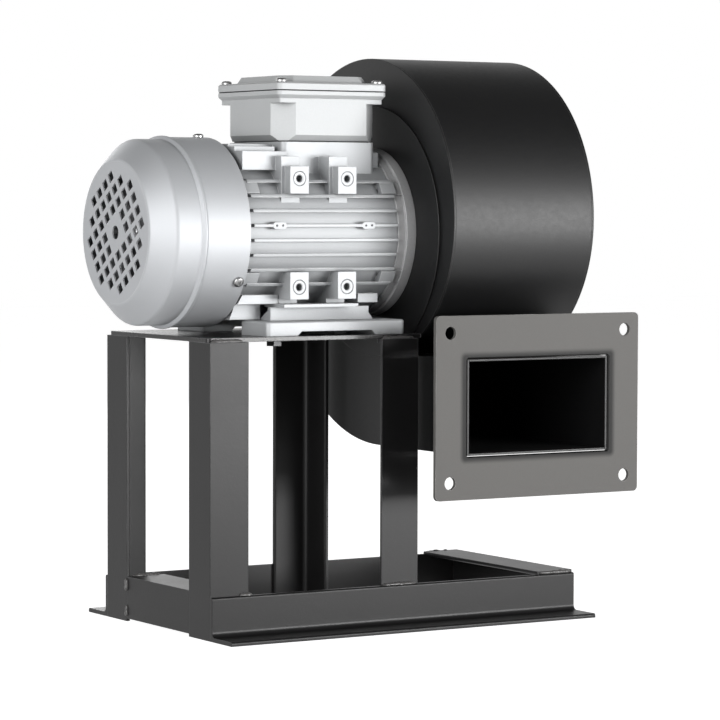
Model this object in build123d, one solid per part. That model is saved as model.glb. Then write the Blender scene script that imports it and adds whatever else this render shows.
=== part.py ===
from build123d import *
import math
import os

# Lengths are millimetres. X runs along the motor shaft from the fan cowl towards the blower, Y runs from
# the outlet side to the back and Z is up. A piece is drawn with X = 0 on the outer face of the scroll's
# motor-side plate and Y = 0 on the shaft axis. Motor and blower pieces are drawn about Z = 0 on that axis
# and raised to it, stand pieces are drawn with Z = 0 on the floor.

# Stand, welded from rolled steel angle
angle_size = 30.0
angle_wall = 3.0
angle_root_radius = 3.5
angle_toe_radius = 1.4
rail_length = 300.0
leg_frame_length = 167.0
leg_frame_width = 152.6
leg_scroll_gap = 9.5
side_rail_lift = 2.0
motor_plate_overhang = 6.0
motor_plate_side_inset = 3.6
motor_plate_thickness = 3.0
motor_plate_top_z = 206.0
motor_plate_corner_radius = 3.0

# Motor frame size and mounting feet
shaft_height = 71.0
foot_hole_span_x = 90.0
foot_hole_span_y = 112.0
foot_hole_end_margin = 11.0
foot_hole_side_margin = 10.0
foot_inner_margin = 8.6
foot_slab_thickness = 10.0
foot_corner_radius = 3.0
foot_edge_bevel = 1.0
foot_recess_length = 57.0
foot_recess_depth = 3.0
foot_web_length = 80.0
foot_web_setback = 2.0
foot_web_inset = 20.0
foot_web_back_inset = 2.0
foot_web_wall = 4.0
foot_web_flare = 3.5
foot_web_flare_height = 4.6
foot_ledge_length = 60.0
foot_ledge_inset = 8.0
foot_ledge_thickness = 2.4
foot_centre_setback = 55.0
foot_sink_radius = 7.0
foot_sink_rise = 2.0

# Motor housing
housing_length = 123.0
housing_outer_radius = 57.0
housing_bore_radius = 53.0
fin_tip_radius = 62.5
fin_thickness = 2.0
fin_pitch = 10.24
fins_per_side = 8
fins_below = 5
fin_rear_gap = 4.0
fin_front_gap = 2.4
pad_length = 14.8
pad_height = 19.0
pad_height_centre = 36.6
pad_face_y = 60.5
pad_spacing = 38.6
pad_centre_setback = 62.9
pad_hole_rise = 1.0
pad_hole_depth = 7.0
pad_recess_radius = 5.2
pad_recess_depth = 0.8
pad_shoulder_y = 53.0
pad_shoulder_setback = 3.0
bottom_pad_drop = 49.4
bottom_pad_width = 15.6
bottom_pad_height = 12.0
shield_lug_angle = 31.0
shield_lug_width = 10.0
shield_lug_length = 12.0
shield_screw_circle = 55.8
neck_length = 76.0
neck_width = 78.0
neck_top = 63.4
neck_corner_radius = 4.0
neck_centre_setback = 45.7
neck_end_block = 5.6
wire_way_length = 25.0
wire_way_width = 24.0
shoulder_low = 43.5
shoulder_high = 56.5
shoulder_step = 3.4
shoulder_width = 90.0
shoulder_middle_width = 68.0
shoulder_top_width = 50.0
lower_block_height = 6.4
lower_block_setback = 90.6
lower_step_height = 11.1
lower_step_setback = 98.5
front_block_length = 16.3
front_block_setback = 9.0
side_boss_spacing = 72.0
side_boss_length = 11.0
side_boss_height = 5.0
side_boss_rise = 0.4

# End shields
motor_flange_radius = 60.5
motor_flange_thickness = 7.5
shield_neck_length = 6.0
shield_neck_radius = 58.4
flange_screw_circle = 50.0
flange_screw_count = 4
flange_spigot_radius = 40.0
flange_spigot_height = 3.0
spigot_fit = 0.1
shield_register_depth = 4.0
shield_wall = 6.0
shield_hub_radius = 24.0
shield_lip = 3.0
lug_inset = 0.5
rear_shield_radius = 58.0
cowl_arm_width = 14.0
cowl_arm_length = 10.0

# Shaft, seal and ball bearings
shaft_end_radius = 7.0
shaft_end_length = 30.0
journal_radius = 7.5
shaft_core_radius = 10.0
fan_seat_radius = 6.0
shaft_bevel = 0.8
shaft_fan_stub = 4.0
bearing_outer_radius = 17.5
bearing_width = 11.0
ball_radius = 2.95
ball_count = 8
ball_clearance = 0.06
race_land = 2.1
cage_width = 8.4
cage_thickness = 1.7
cage_pocket_clearance = 0.18
running_gap = 0.3
seal_length = 7.0
seal_wall = 1.5

# Stator and rotor
core_length = 70.0
core_centre_setback = 63.0
stator_bore_radius = 34.0
air_gap = 0.35
stator_slots = 24
slot_width = 4.0
slot_depth = 11.0
slot_lip = 2.0
slot_mouth = 1.8
winding_overhang = 14.0
winding_bevel = 3.0
rotor_cage_ring_length = 8.0
rotor_cage_ring_wall = 12.0
rotor_cage_fins = 10
rotor_cage_fin_reach = 9.0

# Cooling fan and its cowl
cowl_length = 70.0
cowl_rim_gap = 1.0
cowl_wall = 1.2
cowl_rear_radius = 66.3
cowl_front_radius = 64.7
cowl_face_radius = 50.4
cowl_face_round = 9.0
cowl_cone_length = 14.3
cowl_shoulder_round = 6.0
cowl_bead_setback = 35.0
cowl_bead_radius = 2.2
cowl_bead_height = 0.9
grille_pitch = 10.0
grille_hole = 6.2
grille_turn = 34.0
grille_inner_radius = 15.5
grille_outer_radius = 39.5
cowl_centre_hole_radius = 4.4
cowl_screw_count = 3
cowl_screw_setback = 5.2
fan_radius = 54.0
fan_length = 22.0
fan_hub_wall = 6.0
fan_disc_thickness = 2.0
fan_blades = 8
fan_blade_thickness = 2.0
fan_setback = 17.0
circlip_thickness = 1.0
circlip_groove_depth = 0.8
circlip_reach = 2.2
circlip_mouth = 5.0
circlip_shift = 1.4

# Terminal box
box_length = 83.6
box_width = 83.6
box_height = 26.2
box_wall = 3.0
box_corner_cut = 13.0
box_foot_bevel = 4.0
box_shelf_height = 3.4
box_shelf_corner_radius = 1.0
box_rim_height = 5.0
box_rim_bevel = 2.3
box_shift = 0.2
lid_length = 88.8
lid_width = 88.8
lid_corner_radius = 3.5
lid_edge_bevel = 1.2
lid_rim_height = 5.4
lid_wall = 2.2
lid_crown_height = 4.8
lid_crown_inset = 7.5
lid_crown_slope = 3.0
lid_crown_cut = 9.0
lid_screw_inset = 5.3
gasket_thickness = 0.8
gasket_inset = 0.6
neck_gasket_inset = 1.3
board_shift = 17.0
board_length = 24.0
board_width = 46.0
board_thickness = 6.0
stud_pitch_x = 12.0
stud_pitch_y = 14.0
stud_length = 14.0
stud_sink = 5.0
stud_nut_radius = 3.6
stud_nut_height = 3.2
entry_spacing = 34.0
entry_radius = 8.0
entry_rise = 14.0
entry_fit = 0.1
gland_flange_radius = 10.5
gland_flange_height = 5.0
gland_nut_radius = 10.0
gland_nut_height = 9.0
gland_nose_radius = 6.4
gland_nose_height = 4.0
gland_bore_radius = 4.5
plug_head_radius = 9.5
plug_head_height = 4.0

# Scroll casing of the blower
sheet = 1.5
scroll_width = 119.0
scroll_start_radius = 107.6
scroll_growth = 16.0
scroll_rise = 1.4
duct_height = 67.0
tongue_reach = 5.0
tongue_round = 1.2
mount_disc_radius = 90.0
mount_disc_thickness = 1.5
outlet_flange_width = 172.0
outlet_flange_height = 128.0
outlet_flange_thickness = 3.0
outlet_neck_length = 18.0
outlet_flange_corner = 3.5
outlet_hole_margin = 12.0
outlet_hole_radius = 4.5
outlet_fit = 0.6
outlet_window_corner = 1.4
outlet_window_bevel = 0.8
duct_setback = 1.0

# Impeller and inlet
impeller_radius = 80.0
impeller_gap = 12.0
wheel_sheet = 1.5
wheel_lip = 1.0
blade_inner_radius = 66.0
blade_arc_radius = 14.0
blade_arc_angle = 80.0
blade_count = 36
blade_thickness = 1.0
hub_radius = 13.0
hub_setback = 6.0
hub_overhang = 2.0
hub_flange_radius = 26.0
hub_flange_thickness = 5.0
hub_rivet_circle = 19.5
hub_rivets = 6
rivet_head_radius = 3.6
rivet_head_height = 1.6
hub_washer_radius = 12.0
hub_washer_thickness = 2.0
key_width = 5.0
key_length = 18.0
key_sink = 3.0
key_rise = 2.2
inlet_throat_radius = 58.0
inlet_mouth_round = 11.0
inlet_nozzle_length = 16.0
inlet_nozzle_gap = 1.0
inlet_passage_gap = 1.5
inlet_ring_overlap = 9.5
inlet_screws = 8

# Fasteners
thread_fit = 0.05
shank_fit = 0.3
m6_radius = 3.0
m6_head_flats = 10.0
m6_head_height = 4.0
m5_radius = 2.5
m5_head_flats = 8.0
m5_head_height = 3.5
m4_radius = 2.0
m4_cap_radius = 3.5
m4_cap_height = 4.0
m4_socket_flats = 3.0
m4_socket_depth = 2.0
m4_head_radius = 3.8
m4_head_height = 2.6
m4_head_crown = 1.1
plate_screw_grip = 9.0
foot_screw_length = 16.0
flange_screw_length = 9.0
shield_screw_length = 16.0
cap_sink_depth = 5.5
cap_sink_gap = 0.4
cowl_screw_length = 4.6
lid_screw_length = 13.0
ring_screw_length = 8.0
hub_bolt_length = 17.0

# How far a cut runs past the surface that it opens
over = 3.0

# Positions that follow from the sizes above
axis_z = motor_plate_top_z + shaft_height
flange_face_x = -mount_disc_thickness
flange_back_x = flange_face_x - motor_flange_thickness
housing_front_x = flange_back_x - shield_neck_length
housing_rear_x = housing_front_x - housing_length
foot_centre_x = housing_front_x - foot_centre_setback
pad_centre_x = housing_front_x - pad_centre_setback
neck_centre_x = housing_front_x - neck_centre_setback
box_centre_x = neck_centre_x + box_shift
core_rear_x = housing_front_x - core_centre_setback - core_length / 2
core_front_x = core_rear_x + core_length
front_bearing_x = housing_front_x - bearing_width / 2
rear_bearing_x = housing_rear_x - bearing_width / 2
cowl_rim_x = housing_rear_x - cowl_rim_gap
cowl_face_x = cowl_rim_x - cowl_length
cowl_screw_x = cowl_rim_x - cowl_screw_setback
fan_rear_x = cowl_face_x + fan_setback
fan_front_x = fan_rear_x + fan_length
circlip_x = fan_rear_x - circlip_shift
shaft_rear_x = fan_rear_x - shaft_fan_stub
shaft_front_x = flange_face_x + shaft_end_length
ball_circle = (journal_radius + bearing_outer_radius) / 2
stand_right_x = -leg_scroll_gap
stand_left_x = stand_right_x - leg_frame_length
leg_half_width = leg_frame_width / 2
motor_plate_length = leg_frame_length + motor_plate_overhang
motor_plate_width = leg_frame_width - 2 * motor_plate_side_inset
foot_length = foot_hole_span_x + 2 * foot_hole_end_margin
foot_outer_y = -foot_hole_span_y / 2 - foot_hole_side_margin
foot_inner_y = foot_inner_margin - pad_height_centre
box_bottom = neck_top + gasket_thickness
box_top = box_bottom + box_height
shelf_top = box_top + box_shelf_height
rim_top = shelf_top + box_rim_height
lid_base = rim_top + gasket_thickness
lid_flat = lid_base + lid_rim_height
scroll_centre_x = scroll_width / 2
duct_bottom = scroll_rise - scroll_start_radius - 3 * scroll_growth
duct_top = duct_bottom + duct_height
duct_middle = (duct_bottom + duct_top) / 2
outlet_flange_front_y = -scroll_start_radius - outlet_neck_length
duct_end_y = outlet_flange_front_y + duct_setback
outlet_flange_right_x = scroll_centre_x + outlet_flange_width / 2
scroll_back_y = scroll_start_radius + 2 * scroll_growth
wheel_rim_radius = impeller_radius + wheel_lip
wheel_front_x = scroll_width - inlet_nozzle_length - inlet_nozzle_gap
hub_rear_x = impeller_gap - hub_setback
hub_front_x = shaft_front_x + hub_overhang
inlet_passage_radius = wheel_rim_radius + inlet_passage_gap
inlet_ring_radius = inlet_passage_radius + inlet_ring_overlap
inlet_screw_circle = (inlet_passage_radius + inlet_ring_radius) / 2

# The stored origin is on the floor, under the middle of the whole blower
origin_x = (cowl_face_x + outlet_flange_right_x) / 2
origin_y = (outlet_flange_front_y + scroll_back_y) / 2

nodes = {}


def rod(x0, x1, radius):
    """A round bar along the shaft axis, from x0 to x1."""
    return Pos((x0 + x1) / 2, 0, 0) * Rot(0, 90, 0) * Cylinder(radius, abs(x1 - x0))


def tube(x0, x1, outer, inner):
    """A round tube along the shaft axis."""
    return rod(x0, x1, outer) - rod(x0 - over, x1 + over, inner)


def turned(points):
    """A piece turned about the shaft axis, from points (x, radius)."""
    return revolve(make_face(Polyline(*points, close=True)), Axis.X, 360)


def slab(x0, x1, y0, y1, z0, z1):
    """A rectangular block between six planes."""
    middle = Pos((x0 + x1) / 2, (y0 + y1) / 2, (z0 + z1) / 2)
    return middle * Box(abs(x1 - x0), abs(y1 - y0), abs(z1 - z0))


def along_x(section, x0, x1):
    """A section drawn in Y and Z, drawn out along the shaft from x0 to x1."""
    return extrude(Plane.YZ.offset(x0) * section, x1 - x0)


def around(count, start, piece):
    """Copies of a piece spread evenly round the shaft axis, the first turned by start degrees."""
    return [Rot(start + 360 * i / count, 0, 0) * piece for i in range(count)]


def separate(pieces):
    """Like pieces that share one node and stay separate solids."""
    return Compound(children=[solid for piece in pieces for solid in piece.solids()])


def hexagon(across_flats):
    return RegularPolygon(across_flats / 2, 6, major_radius=False)


def hex_screw(radius, length, head_flats, head_height):
    """A hexagon-head screw, seated at X = 0, with its head towards +X and its shank towards -X."""
    return along_x(hexagon(head_flats), 0, head_height) + rod(-length, 0, radius)


def pan_screw(length):
    """An M4 pan-head screw, seated at X = 0, with its head towards +X."""
    edge = m4_head_height - m4_head_crown
    return turned([(-length, 0), (-length, m4_radius), (0, m4_radius), (0, m4_head_radius),
                   (edge, m4_head_radius), (m4_head_height, m4_head_radius - m4_head_crown),
                   (m4_head_height, 0)])


def screw_from_below(length):
    """An M6 hexagon-head screw, seated at Z = 0, with its head below and its shank upwards."""
    head = extrude(hexagon(m6_head_flats), -m6_head_height)
    return head + Pos(0, 0, length / 2) * Cylinder(m6_radius, length)


def at_angle(angle, radius, piece):
    """Moves a piece drawn on the axis out to a radius, in the direction angle from +Y towards +Z."""
    a = math.radians(angle)
    return Pos(0, radius * math.cos(a), radius * math.sin(a)) * piece


def radial(angle, x, radius):
    """A place at a radius whose local Z points away from the shaft, for radial screws and holes."""
    return Pos(x, 0, 0) * Rot(angle - 90, 0, 0) * Pos(0, 0, radius)


def add(name, piece, height=0.0):
    """Moves a node's piece, or each of its separate pieces, into the stored frame."""
    solids = [Pos(-origin_x, -origin_y, height) * solid for solid in piece.solids()]
    nodes[name] = Compound(children=solids) if len(solids) > 1 else solids[0]


def add_on_axis(name, piece):
    add(name, piece, axis_z)


# Stand

def angle_section():
    """The L-shaped section of the rolled angle, with its outer corner at the origin."""
    points = [(0, 0), (angle_size, 0), (angle_size, angle_wall), (angle_wall, angle_wall)]
    points += [(angle_wall, angle_size), (0, angle_size)]
    section = make_face(Polyline(*points, close=True))
    root = section.vertices().sort_by_distance((angle_wall, angle_wall))[0]
    section = fillet(root, angle_root_radius)
    toes = [section.vertices().sort_by_distance(place)[0]
            for place in ((angle_size, angle_wall), (angle_wall, angle_size))]
    return fillet(toes, angle_toe_radius)


def foot_holes():
    """Centres of the four holes that hold the motor's feet to the plate."""
    half_x = foot_hole_span_x / 2
    half_y = foot_hole_span_y / 2
    return [(foot_centre_x + sx * half_x, sy * half_y) for sx in (-1, 1) for sy in (-1, 1)]


def make_stand():
    section = angle_section()
    leg = extrude(section, motor_plate_top_z - motor_plate_thickness)
    x0 = stand_left_x
    x1 = stand_right_x
    add("leg_front_left", Pos(x0, -leg_half_width, 0) * leg)
    add("leg_front_right", Pos(x1, -leg_half_width, 0) * Rot(0, 0, 90) * leg)
    add("leg_rear_right", Pos(x1, leg_half_width, 0) * Rot(0, 0, 180) * leg)
    add("leg_rear_left", Pos(x0, leg_half_width, 0) * Rot(0, 0, 270) * leg)

    # The long rails lie outside the legs, wall up and foot outwards on the floor
    rear_rail = Pos(x0, leg_half_width, 0) * along_x(section, 0, rail_length)
    add("base_rail_rear", rear_rail)
    add("base_rail_front", mirror(rear_rail, about=Plane.XZ))

    # The cross rails have their wall outside and their flange on top, pointing inwards
    side_top = side_rail_lift + angle_size
    side_section = Plane.XZ * Rot(0, 0, -90) * section
    left = extrude(side_section, leg_half_width - angle_size, both=True)
    add("base_rail_left", Pos(x0, 0, side_top) * left)
    right = extrude(side_section, leg_half_width, both=True)
    add("base_rail_right", Pos(x0 + rail_length, 0, side_top) * mirror(right, about=Plane.YZ))

    plate = Box(motor_plate_length, motor_plate_width, motor_plate_thickness)
    plate = fillet(plate.edges().filter_by(Axis.Z), motor_plate_corner_radius)
    plate = Pos(x0 + motor_plate_length / 2, 0, motor_plate_top_z - motor_plate_thickness / 2) * plate
    hole = Cylinder(m6_radius + shank_fit, 2 * motor_plate_thickness + over)
    add("motor_plate", plate - [Pos(x, y, motor_plate_top_z) * hole for x, y in foot_holes()])


# Motor housing and feet

def lug_angles():
    """The four directions, in degrees about the shaft, of the end-shield screws."""
    a = shield_lug_angle
    return [a, 180 - a, 180 + a, 360 - a]


def shield_lugs(x0, x1, outer, inner):
    """The four lugs round the end-shield screws, set in from an outer radius and ending at an inner one."""
    lug = slab(x0, x1, 0, 2 * outer, -shield_lug_width / 2, shield_lug_width / 2)
    ring = tube(x0, x1, outer - lug_inset, inner)
    return [(Rot(angle, 0, 0) * lug) & ring for angle in lug_angles()]


def pad_places():
    """The places along the shaft of the two rows of threaded pads."""
    return [pad_centre_x - pad_spacing / 2, pad_centre_x + pad_spacing / 2]


def finned_barrel():
    """The barrel with level fins on both sides and upright fins below."""
    fins = Sketch()
    for i in range(fins_per_side):
        z = (i - (fins_per_side - 1) / 2) * fin_pitch
        fins += Pos(0, z) * Rectangle(2 * fin_tip_radius, fin_thickness)
    for i in range(fins_below):
        y = (i - (fins_below - 1) / 2) * fin_pitch
        fins += Pos(y, -fin_tip_radius / 2) * Rectangle(fin_thickness, fin_tip_radius)
    section = Circle(housing_outer_radius) + (fins & Circle(fin_tip_radius))
    barrel = along_x(section, housing_rear_x + fin_rear_gap, housing_front_x - fin_front_gap)
    return barrel + rod(housing_rear_x, housing_front_x, housing_outer_radius)


def slanted_block(x1, half_width, z0, z1):
    """A cast block at the rear of the housing, up to x1, whose end slants back from the fins to the rim."""
    points = [(housing_rear_x, z0), (x1, z0), (x1, z1), (housing_rear_x + fin_rear_gap, z1)]
    return extrude(Plane.XZ * make_face(Polyline(*points, close=True)), half_width, both=True)


def housing_shoulders():
    """The neck under the terminal box, the stepped shoulders between it and the cowl, and the blocks below."""
    fin_x0 = housing_rear_x + fin_rear_gap
    neck_x0 = neck_centre_x - neck_length / 2
    neck_x1 = neck_x0 + neck_length
    front_block_x = housing_front_x - front_block_setback
    neck = slab(neck_x0, neck_x1, -neck_width / 2, neck_width / 2, 0, neck_top)
    neck = fillet(neck.edges().filter_by(Axis.Z), neck_corner_radius)
    wide = shoulder_width / 2
    middle = shoulder_middle_width / 2
    top = shoulder_top_width / 2
    return [
        neck,
        slab(fin_x0, neck_x0, -wide, wide, shoulder_low, shoulder_high),
        slab(fin_x0, neck_x0 - shoulder_step, -middle, middle, shoulder_high, shoulder_high + shoulder_step),
        slab(fin_x0, neck_x0 + neck_corner_radius, -top, top, shoulder_high, neck_top - shoulder_step / 2),
        slab(neck_x1, neck_x1 + neck_end_block, -middle, middle, shoulder_low, shoulder_high),
        slanted_block(housing_front_x - lower_block_setback, wide, -bottom_pad_drop,
                      lower_block_height - bottom_pad_drop),
        slanted_block(housing_front_x - lower_step_setback, middle, -bottom_pad_drop - lower_step_height,
                      -bottom_pad_drop),
        slab(front_block_x - front_block_length, front_block_x, -wide, wide, -bottom_pad_drop,
             lower_block_height - bottom_pad_drop),
    ]


def housing_pads():
    """Threaded pads, two rows above and below on each side, and the feet's pads under them."""
    half = pad_length / 2
    low = pad_height_centre - pad_height / 2
    high = pad_height_centre + pad_height / 2
    inner = pad_height_centre - bottom_pad_width / 2
    outer = pad_height_centre + bottom_pad_width / 2
    pads = []
    for x in pad_places():
        for side in (-1, 1):
            for level in (-1, 1):
                pads.append(slab(x - half, x + half, 0, side * pad_face_y, level * low, level * high))
            pads.append(slab(x - half, x + half, side * inner, side * outer,
                             -bottom_pad_drop, bottom_pad_height - bottom_pad_drop))
            pads.append(slab(x - half - pad_shoulder_setback, x + half - pad_shoulder_setback,
                             0, side * pad_shoulder_y, 0, shoulder_high - shoulder_step))
    return pads


def side_bosses():
    """Small cast bosses on a fin of each side."""
    bosses = []
    for side in (-1, 1):
        for shift in (-1, 1):
            boss = extrude(SlotOverall(side_boss_length, side_boss_height), fin_tip_radius)
            boss = Rot(90 * side, 0, 0) * boss
            boss = Pos(pad_centre_x + shift * side_boss_spacing / 2, 0, fin_pitch / 2) * boss
            bosses.append(boss & rod(housing_rear_x, housing_front_x, fin_tip_radius + side_boss_rise))
    return bosses


def housing_holes():
    """The threaded holes of the pads and of the end shields, and the way of the wires to the box."""
    pad_hole = Cylinder(m6_radius + thread_fit, 2 * pad_hole_depth)
    recess = Cylinder(pad_recess_radius, 2 * pad_recess_depth)
    holes = []
    for x in pad_places():
        for side in (-1, 1):
            for level in (-1, 1):
                z = level * (pad_height_centre + pad_hole_rise)
                holes.append(Pos(x, side * pad_face_y, z) * Rot(90, 0, 0) * (pad_hole + recess))
            holes.append(Pos(x, side * pad_height_centre, -bottom_pad_drop) * pad_hole)
    screw_hole = rod(-shield_lug_length, shield_lug_length, m4_radius + thread_fit)
    for angle in lug_angles():
        for end in (housing_rear_x, housing_front_x):
            holes.append(Pos(end, 0, 0) * at_angle(angle, shield_screw_circle, screw_hole))
    holes.append(Pos(neck_centre_x, 0, neck_top) * Box(wire_way_length, wire_way_width, neck_top))
    return holes


def motor_housing():
    body = finned_barrel() + housing_shoulders() + housing_pads() + side_bosses()
    for x in (housing_rear_x, housing_front_x - shield_lug_length):
        body += shield_lugs(x, x + shield_lug_length, fin_tip_radius, housing_bore_radius)
    body -= rod(housing_rear_x - over, housing_front_x + over, housing_bore_radius)
    return body - housing_holes()


def motor_foot():
    """The foot on the outlet side; the other is its mirror image."""
    bottom = -shaft_height
    top = bottom + foot_slab_thickness
    foot_width = foot_inner_y - foot_outer_y
    x0 = foot_centre_x - foot_length / 2
    x1 = foot_centre_x + foot_length / 2
    half_recess = foot_recess_length / 2
    recess_top = bottom + foot_recess_depth
    profile = [(x0, bottom), (foot_centre_x - half_recess - foot_recess_depth, bottom),
               (foot_centre_x - half_recess, recess_top), (foot_centre_x + half_recess, recess_top),
               (foot_centre_x + half_recess + foot_recess_depth, bottom), (x1, bottom), (x1, top), (x0, top)]
    foot = extrude(Plane.XZ.offset(-foot_outer_y) * make_face(Polyline(*profile, close=True)), -foot_width)
    corners = foot.edges().filter_by(Axis.Z).filter_by(lambda e: e.length > foot_recess_depth + 1)
    foot = fillet(corners, foot_corner_radius)
    foot = chamfer(foot.faces().sort_by(Axis.Z)[-1].edges(), foot_edge_bevel)

    # An upright web with a gusset at each end, and behind it the block that carries the housing's pads
    web_top = -bottom_pad_drop - foot_ledge_thickness
    web_front = foot_outer_y + foot_web_inset
    web_back = foot_inner_y - foot_web_back_inset
    web_x0 = foot_centre_x - foot_web_setback - foot_web_length / 2
    web_x1 = web_x0 + foot_web_length
    web = [(web_x0, top), (web_x1 + foot_web_flare, top), (web_x1, top + foot_web_flare_height),
           (web_x1, web_top), (web_x0, web_top)]
    foot += extrude(Plane.XZ.offset(-web_front) * make_face(Polyline(*web, close=True)), -foot_web_wall)
    gusset = make_face(Polyline((web_front, top), (web_front, web_top), (web_back, top), close=True))
    foot += along_x(gusset, web_x0, web_x0 + foot_web_wall) + along_x(gusset, web_x1 - foot_web_wall, web_x1)
    half_block = (pad_spacing + pad_length) / 2
    foot += slab(pad_centre_x - half_block, pad_centre_x + half_block, web_front, web_back, top, web_top)
    half_ledge = foot_ledge_length / 2
    foot += slab(pad_centre_x - half_ledge, pad_centre_x + half_ledge, foot_outer_y + foot_ledge_inset, web_back,
                 web_top, -bottom_pad_drop)
    threads = Cylinder(m6_radius + thread_fit, 2 * foot_slab_thickness + over)
    for x in (foot_centre_x - foot_hole_span_x / 2, foot_centre_x + foot_hole_span_x / 2):
        foot -= Pos(x, -foot_hole_span_y / 2, bottom) * threads
    sink_height = foot_slab_thickness + foot_sink_rise
    for x in pad_places():
        place = Pos(x, -pad_height_centre, bottom)
        foot -= place * Cylinder(m6_radius + shank_fit, 2 * shaft_height)
        foot -= place * Cylinder(foot_sink_radius, 2 * sink_height)
    return foot


def make_motor_body():
    add_on_axis("motor_housing", motor_housing())
    foot = motor_foot()
    add_on_axis("motor_foot_front", foot)
    add_on_axis("motor_foot_rear", mirror(foot, about=Plane.XZ))

    under = motor_plate_top_z - motor_plate_thickness
    plate_screw = screw_from_below(motor_plate_thickness + plate_screw_grip)
    add("motor_plate_screws", separate([Pos(x, y, under) * plate_screw for x, y in foot_holes()]))
    seat = foot_slab_thickness + foot_sink_rise - shaft_height
    foot_screw = screw_from_below(foot_screw_length)
    places = [(x, side * pad_height_centre) for x in pad_places() for side in (-1, 1)]
    add_on_axis("motor_foot_screws", separate([Pos(x, y, seat) * foot_screw for x, y in places]))


# End shields, bearings and seal

def flange_screw_angles():
    return [180 / flange_screw_count + 360 * i / flange_screw_count for i in range(flange_screw_count)]


def cowl_screw_angles():
    """The directions of the radial screws that hold the cowl: one on top, the rest spread evenly."""
    return [90 + 360 * i / cowl_screw_count for i in range(cowl_screw_count)]


def front_shield():
    """The drive-end shield, cast in one with the round flange that carries the blower."""
    face = flange_face_x
    spigot_face = face + flange_spigot_height
    rear = housing_front_x
    register = rear - shield_register_depth
    register_bore = housing_bore_radius - shield_wall
    seat_rear = front_bearing_x - bearing_width / 2
    lip_bore = bearing_outer_radius - shield_lip
    shield = turned([
        (spigot_face, flange_spigot_radius), (face, flange_spigot_radius), (face, motor_flange_radius),
        (flange_back_x, motor_flange_radius), (flange_back_x, shield_neck_radius), (rear, shield_neck_radius),
        (rear, housing_bore_radius), (register, housing_bore_radius), (register, register_bore),
        (rear, register_bore), (rear, shield_hub_radius), (seat_rear, shield_hub_radius),
        (seat_rear, bearing_outer_radius), (rear, bearing_outer_radius), (rear, lip_bore),
        (flange_back_x, lip_bore), (flange_back_x, bearing_outer_radius), (spigot_face, bearing_outer_radius)])
    shield += shield_lugs(rear, flange_back_x, motor_flange_radius, flange_spigot_radius)
    shank_way = rod(rear - over, face + over, m4_radius + shank_fit)
    sink = rod(face - cap_sink_depth, face + over, m4_cap_radius + cap_sink_gap)
    shield -= [at_angle(angle, shield_screw_circle, shank_way + sink) for angle in lug_angles()]
    tapped = rod(flange_back_x - over, face + over, m6_radius + thread_fit)
    return shield - [at_angle(angle, flange_screw_circle, tapped) for angle in flange_screw_angles()]


def rear_shield():
    """The shield at the fan end, with arms for the screws of the cowl."""
    front = housing_rear_x
    register = front + shield_register_depth
    register_bore = housing_bore_radius - shield_wall
    wall = front - shield_wall
    seat_rear = rear_bearing_x - bearing_width / 2
    back = seat_rear - shield_lip
    lip_bore = bearing_outer_radius - 2 * shield_lip
    shield = turned([
        (register, housing_bore_radius), (front, housing_bore_radius), (front, rear_shield_radius),
        (wall, rear_shield_radius), (wall, shield_hub_radius), (back, shield_hub_radius), (back, lip_bore),
        (seat_rear, lip_bore), (seat_rear, bearing_outer_radius), (front, bearing_outer_radius),
        (front, register_bore), (register, register_bore)])
    arm_x0 = cowl_screw_x - cowl_arm_length / 2
    arm_x1 = cowl_screw_x + cowl_arm_length / 2
    reach = cowl_rear_radius - cowl_wall - running_gap
    arm = slab(arm_x0, arm_x1, 0, 2 * reach, -cowl_arm_width / 2, cowl_arm_width / 2)
    ring = tube(arm_x0, arm_x1, reach, housing_bore_radius)
    shield += [(Rot(angle, 0, 0) * arm) & ring for angle in cowl_screw_angles()]
    shield += shield_lugs(wall, front, fin_tip_radius, shield_hub_radius)
    shank_way = rod(wall - over, front + over, m4_radius + shank_fit)
    sink = rod(arm_x0 - over, wall, m4_cap_radius + cap_sink_gap)
    shield -= [at_angle(angle, shield_screw_circle, shank_way + sink) for angle in lug_angles()]
    tapped = Cylinder(m4_radius + thread_fit, 2 * cowl_screw_length)
    return shield - [radial(angle, cowl_screw_x, cowl_rear_radius) * tapped for angle in cowl_screw_angles()]


def make_bearing(name, x):
    x0 = x - bearing_width / 2
    x1 = x + bearing_width / 2
    groove = revolve(Pos(x, ball_circle) * Circle(ball_radius + ball_clearance), Axis.X, 360)
    outer_ring = tube(x0, x1, bearing_outer_radius, ball_circle + race_land)
    add_on_axis(name + "_bearing_outer_ring", outer_ring - groove)
    inner_ring = tube(x0, x1, ball_circle - race_land, journal_radius)
    add_on_axis(name + "_bearing_inner_ring", inner_ring - groove)
    ball = Pos(x, ball_circle, 0) * Sphere(ball_radius)
    add_on_axis(name + "_bearing_balls", separate(around(ball_count, 0, ball)))
    half_wall = cage_thickness / 2
    cage = tube(x - cage_width / 2, x + cage_width / 2, ball_circle + half_wall, ball_circle - half_wall)
    pocket = Rot(90, 0, 0) * Cylinder(ball_radius + cage_pocket_clearance, 2 * cage_thickness)
    cage -= around(ball_count, 0, Pos(x, ball_circle, 0) * pocket)
    add_on_axis(name + "_bearing_cage", cage)


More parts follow.
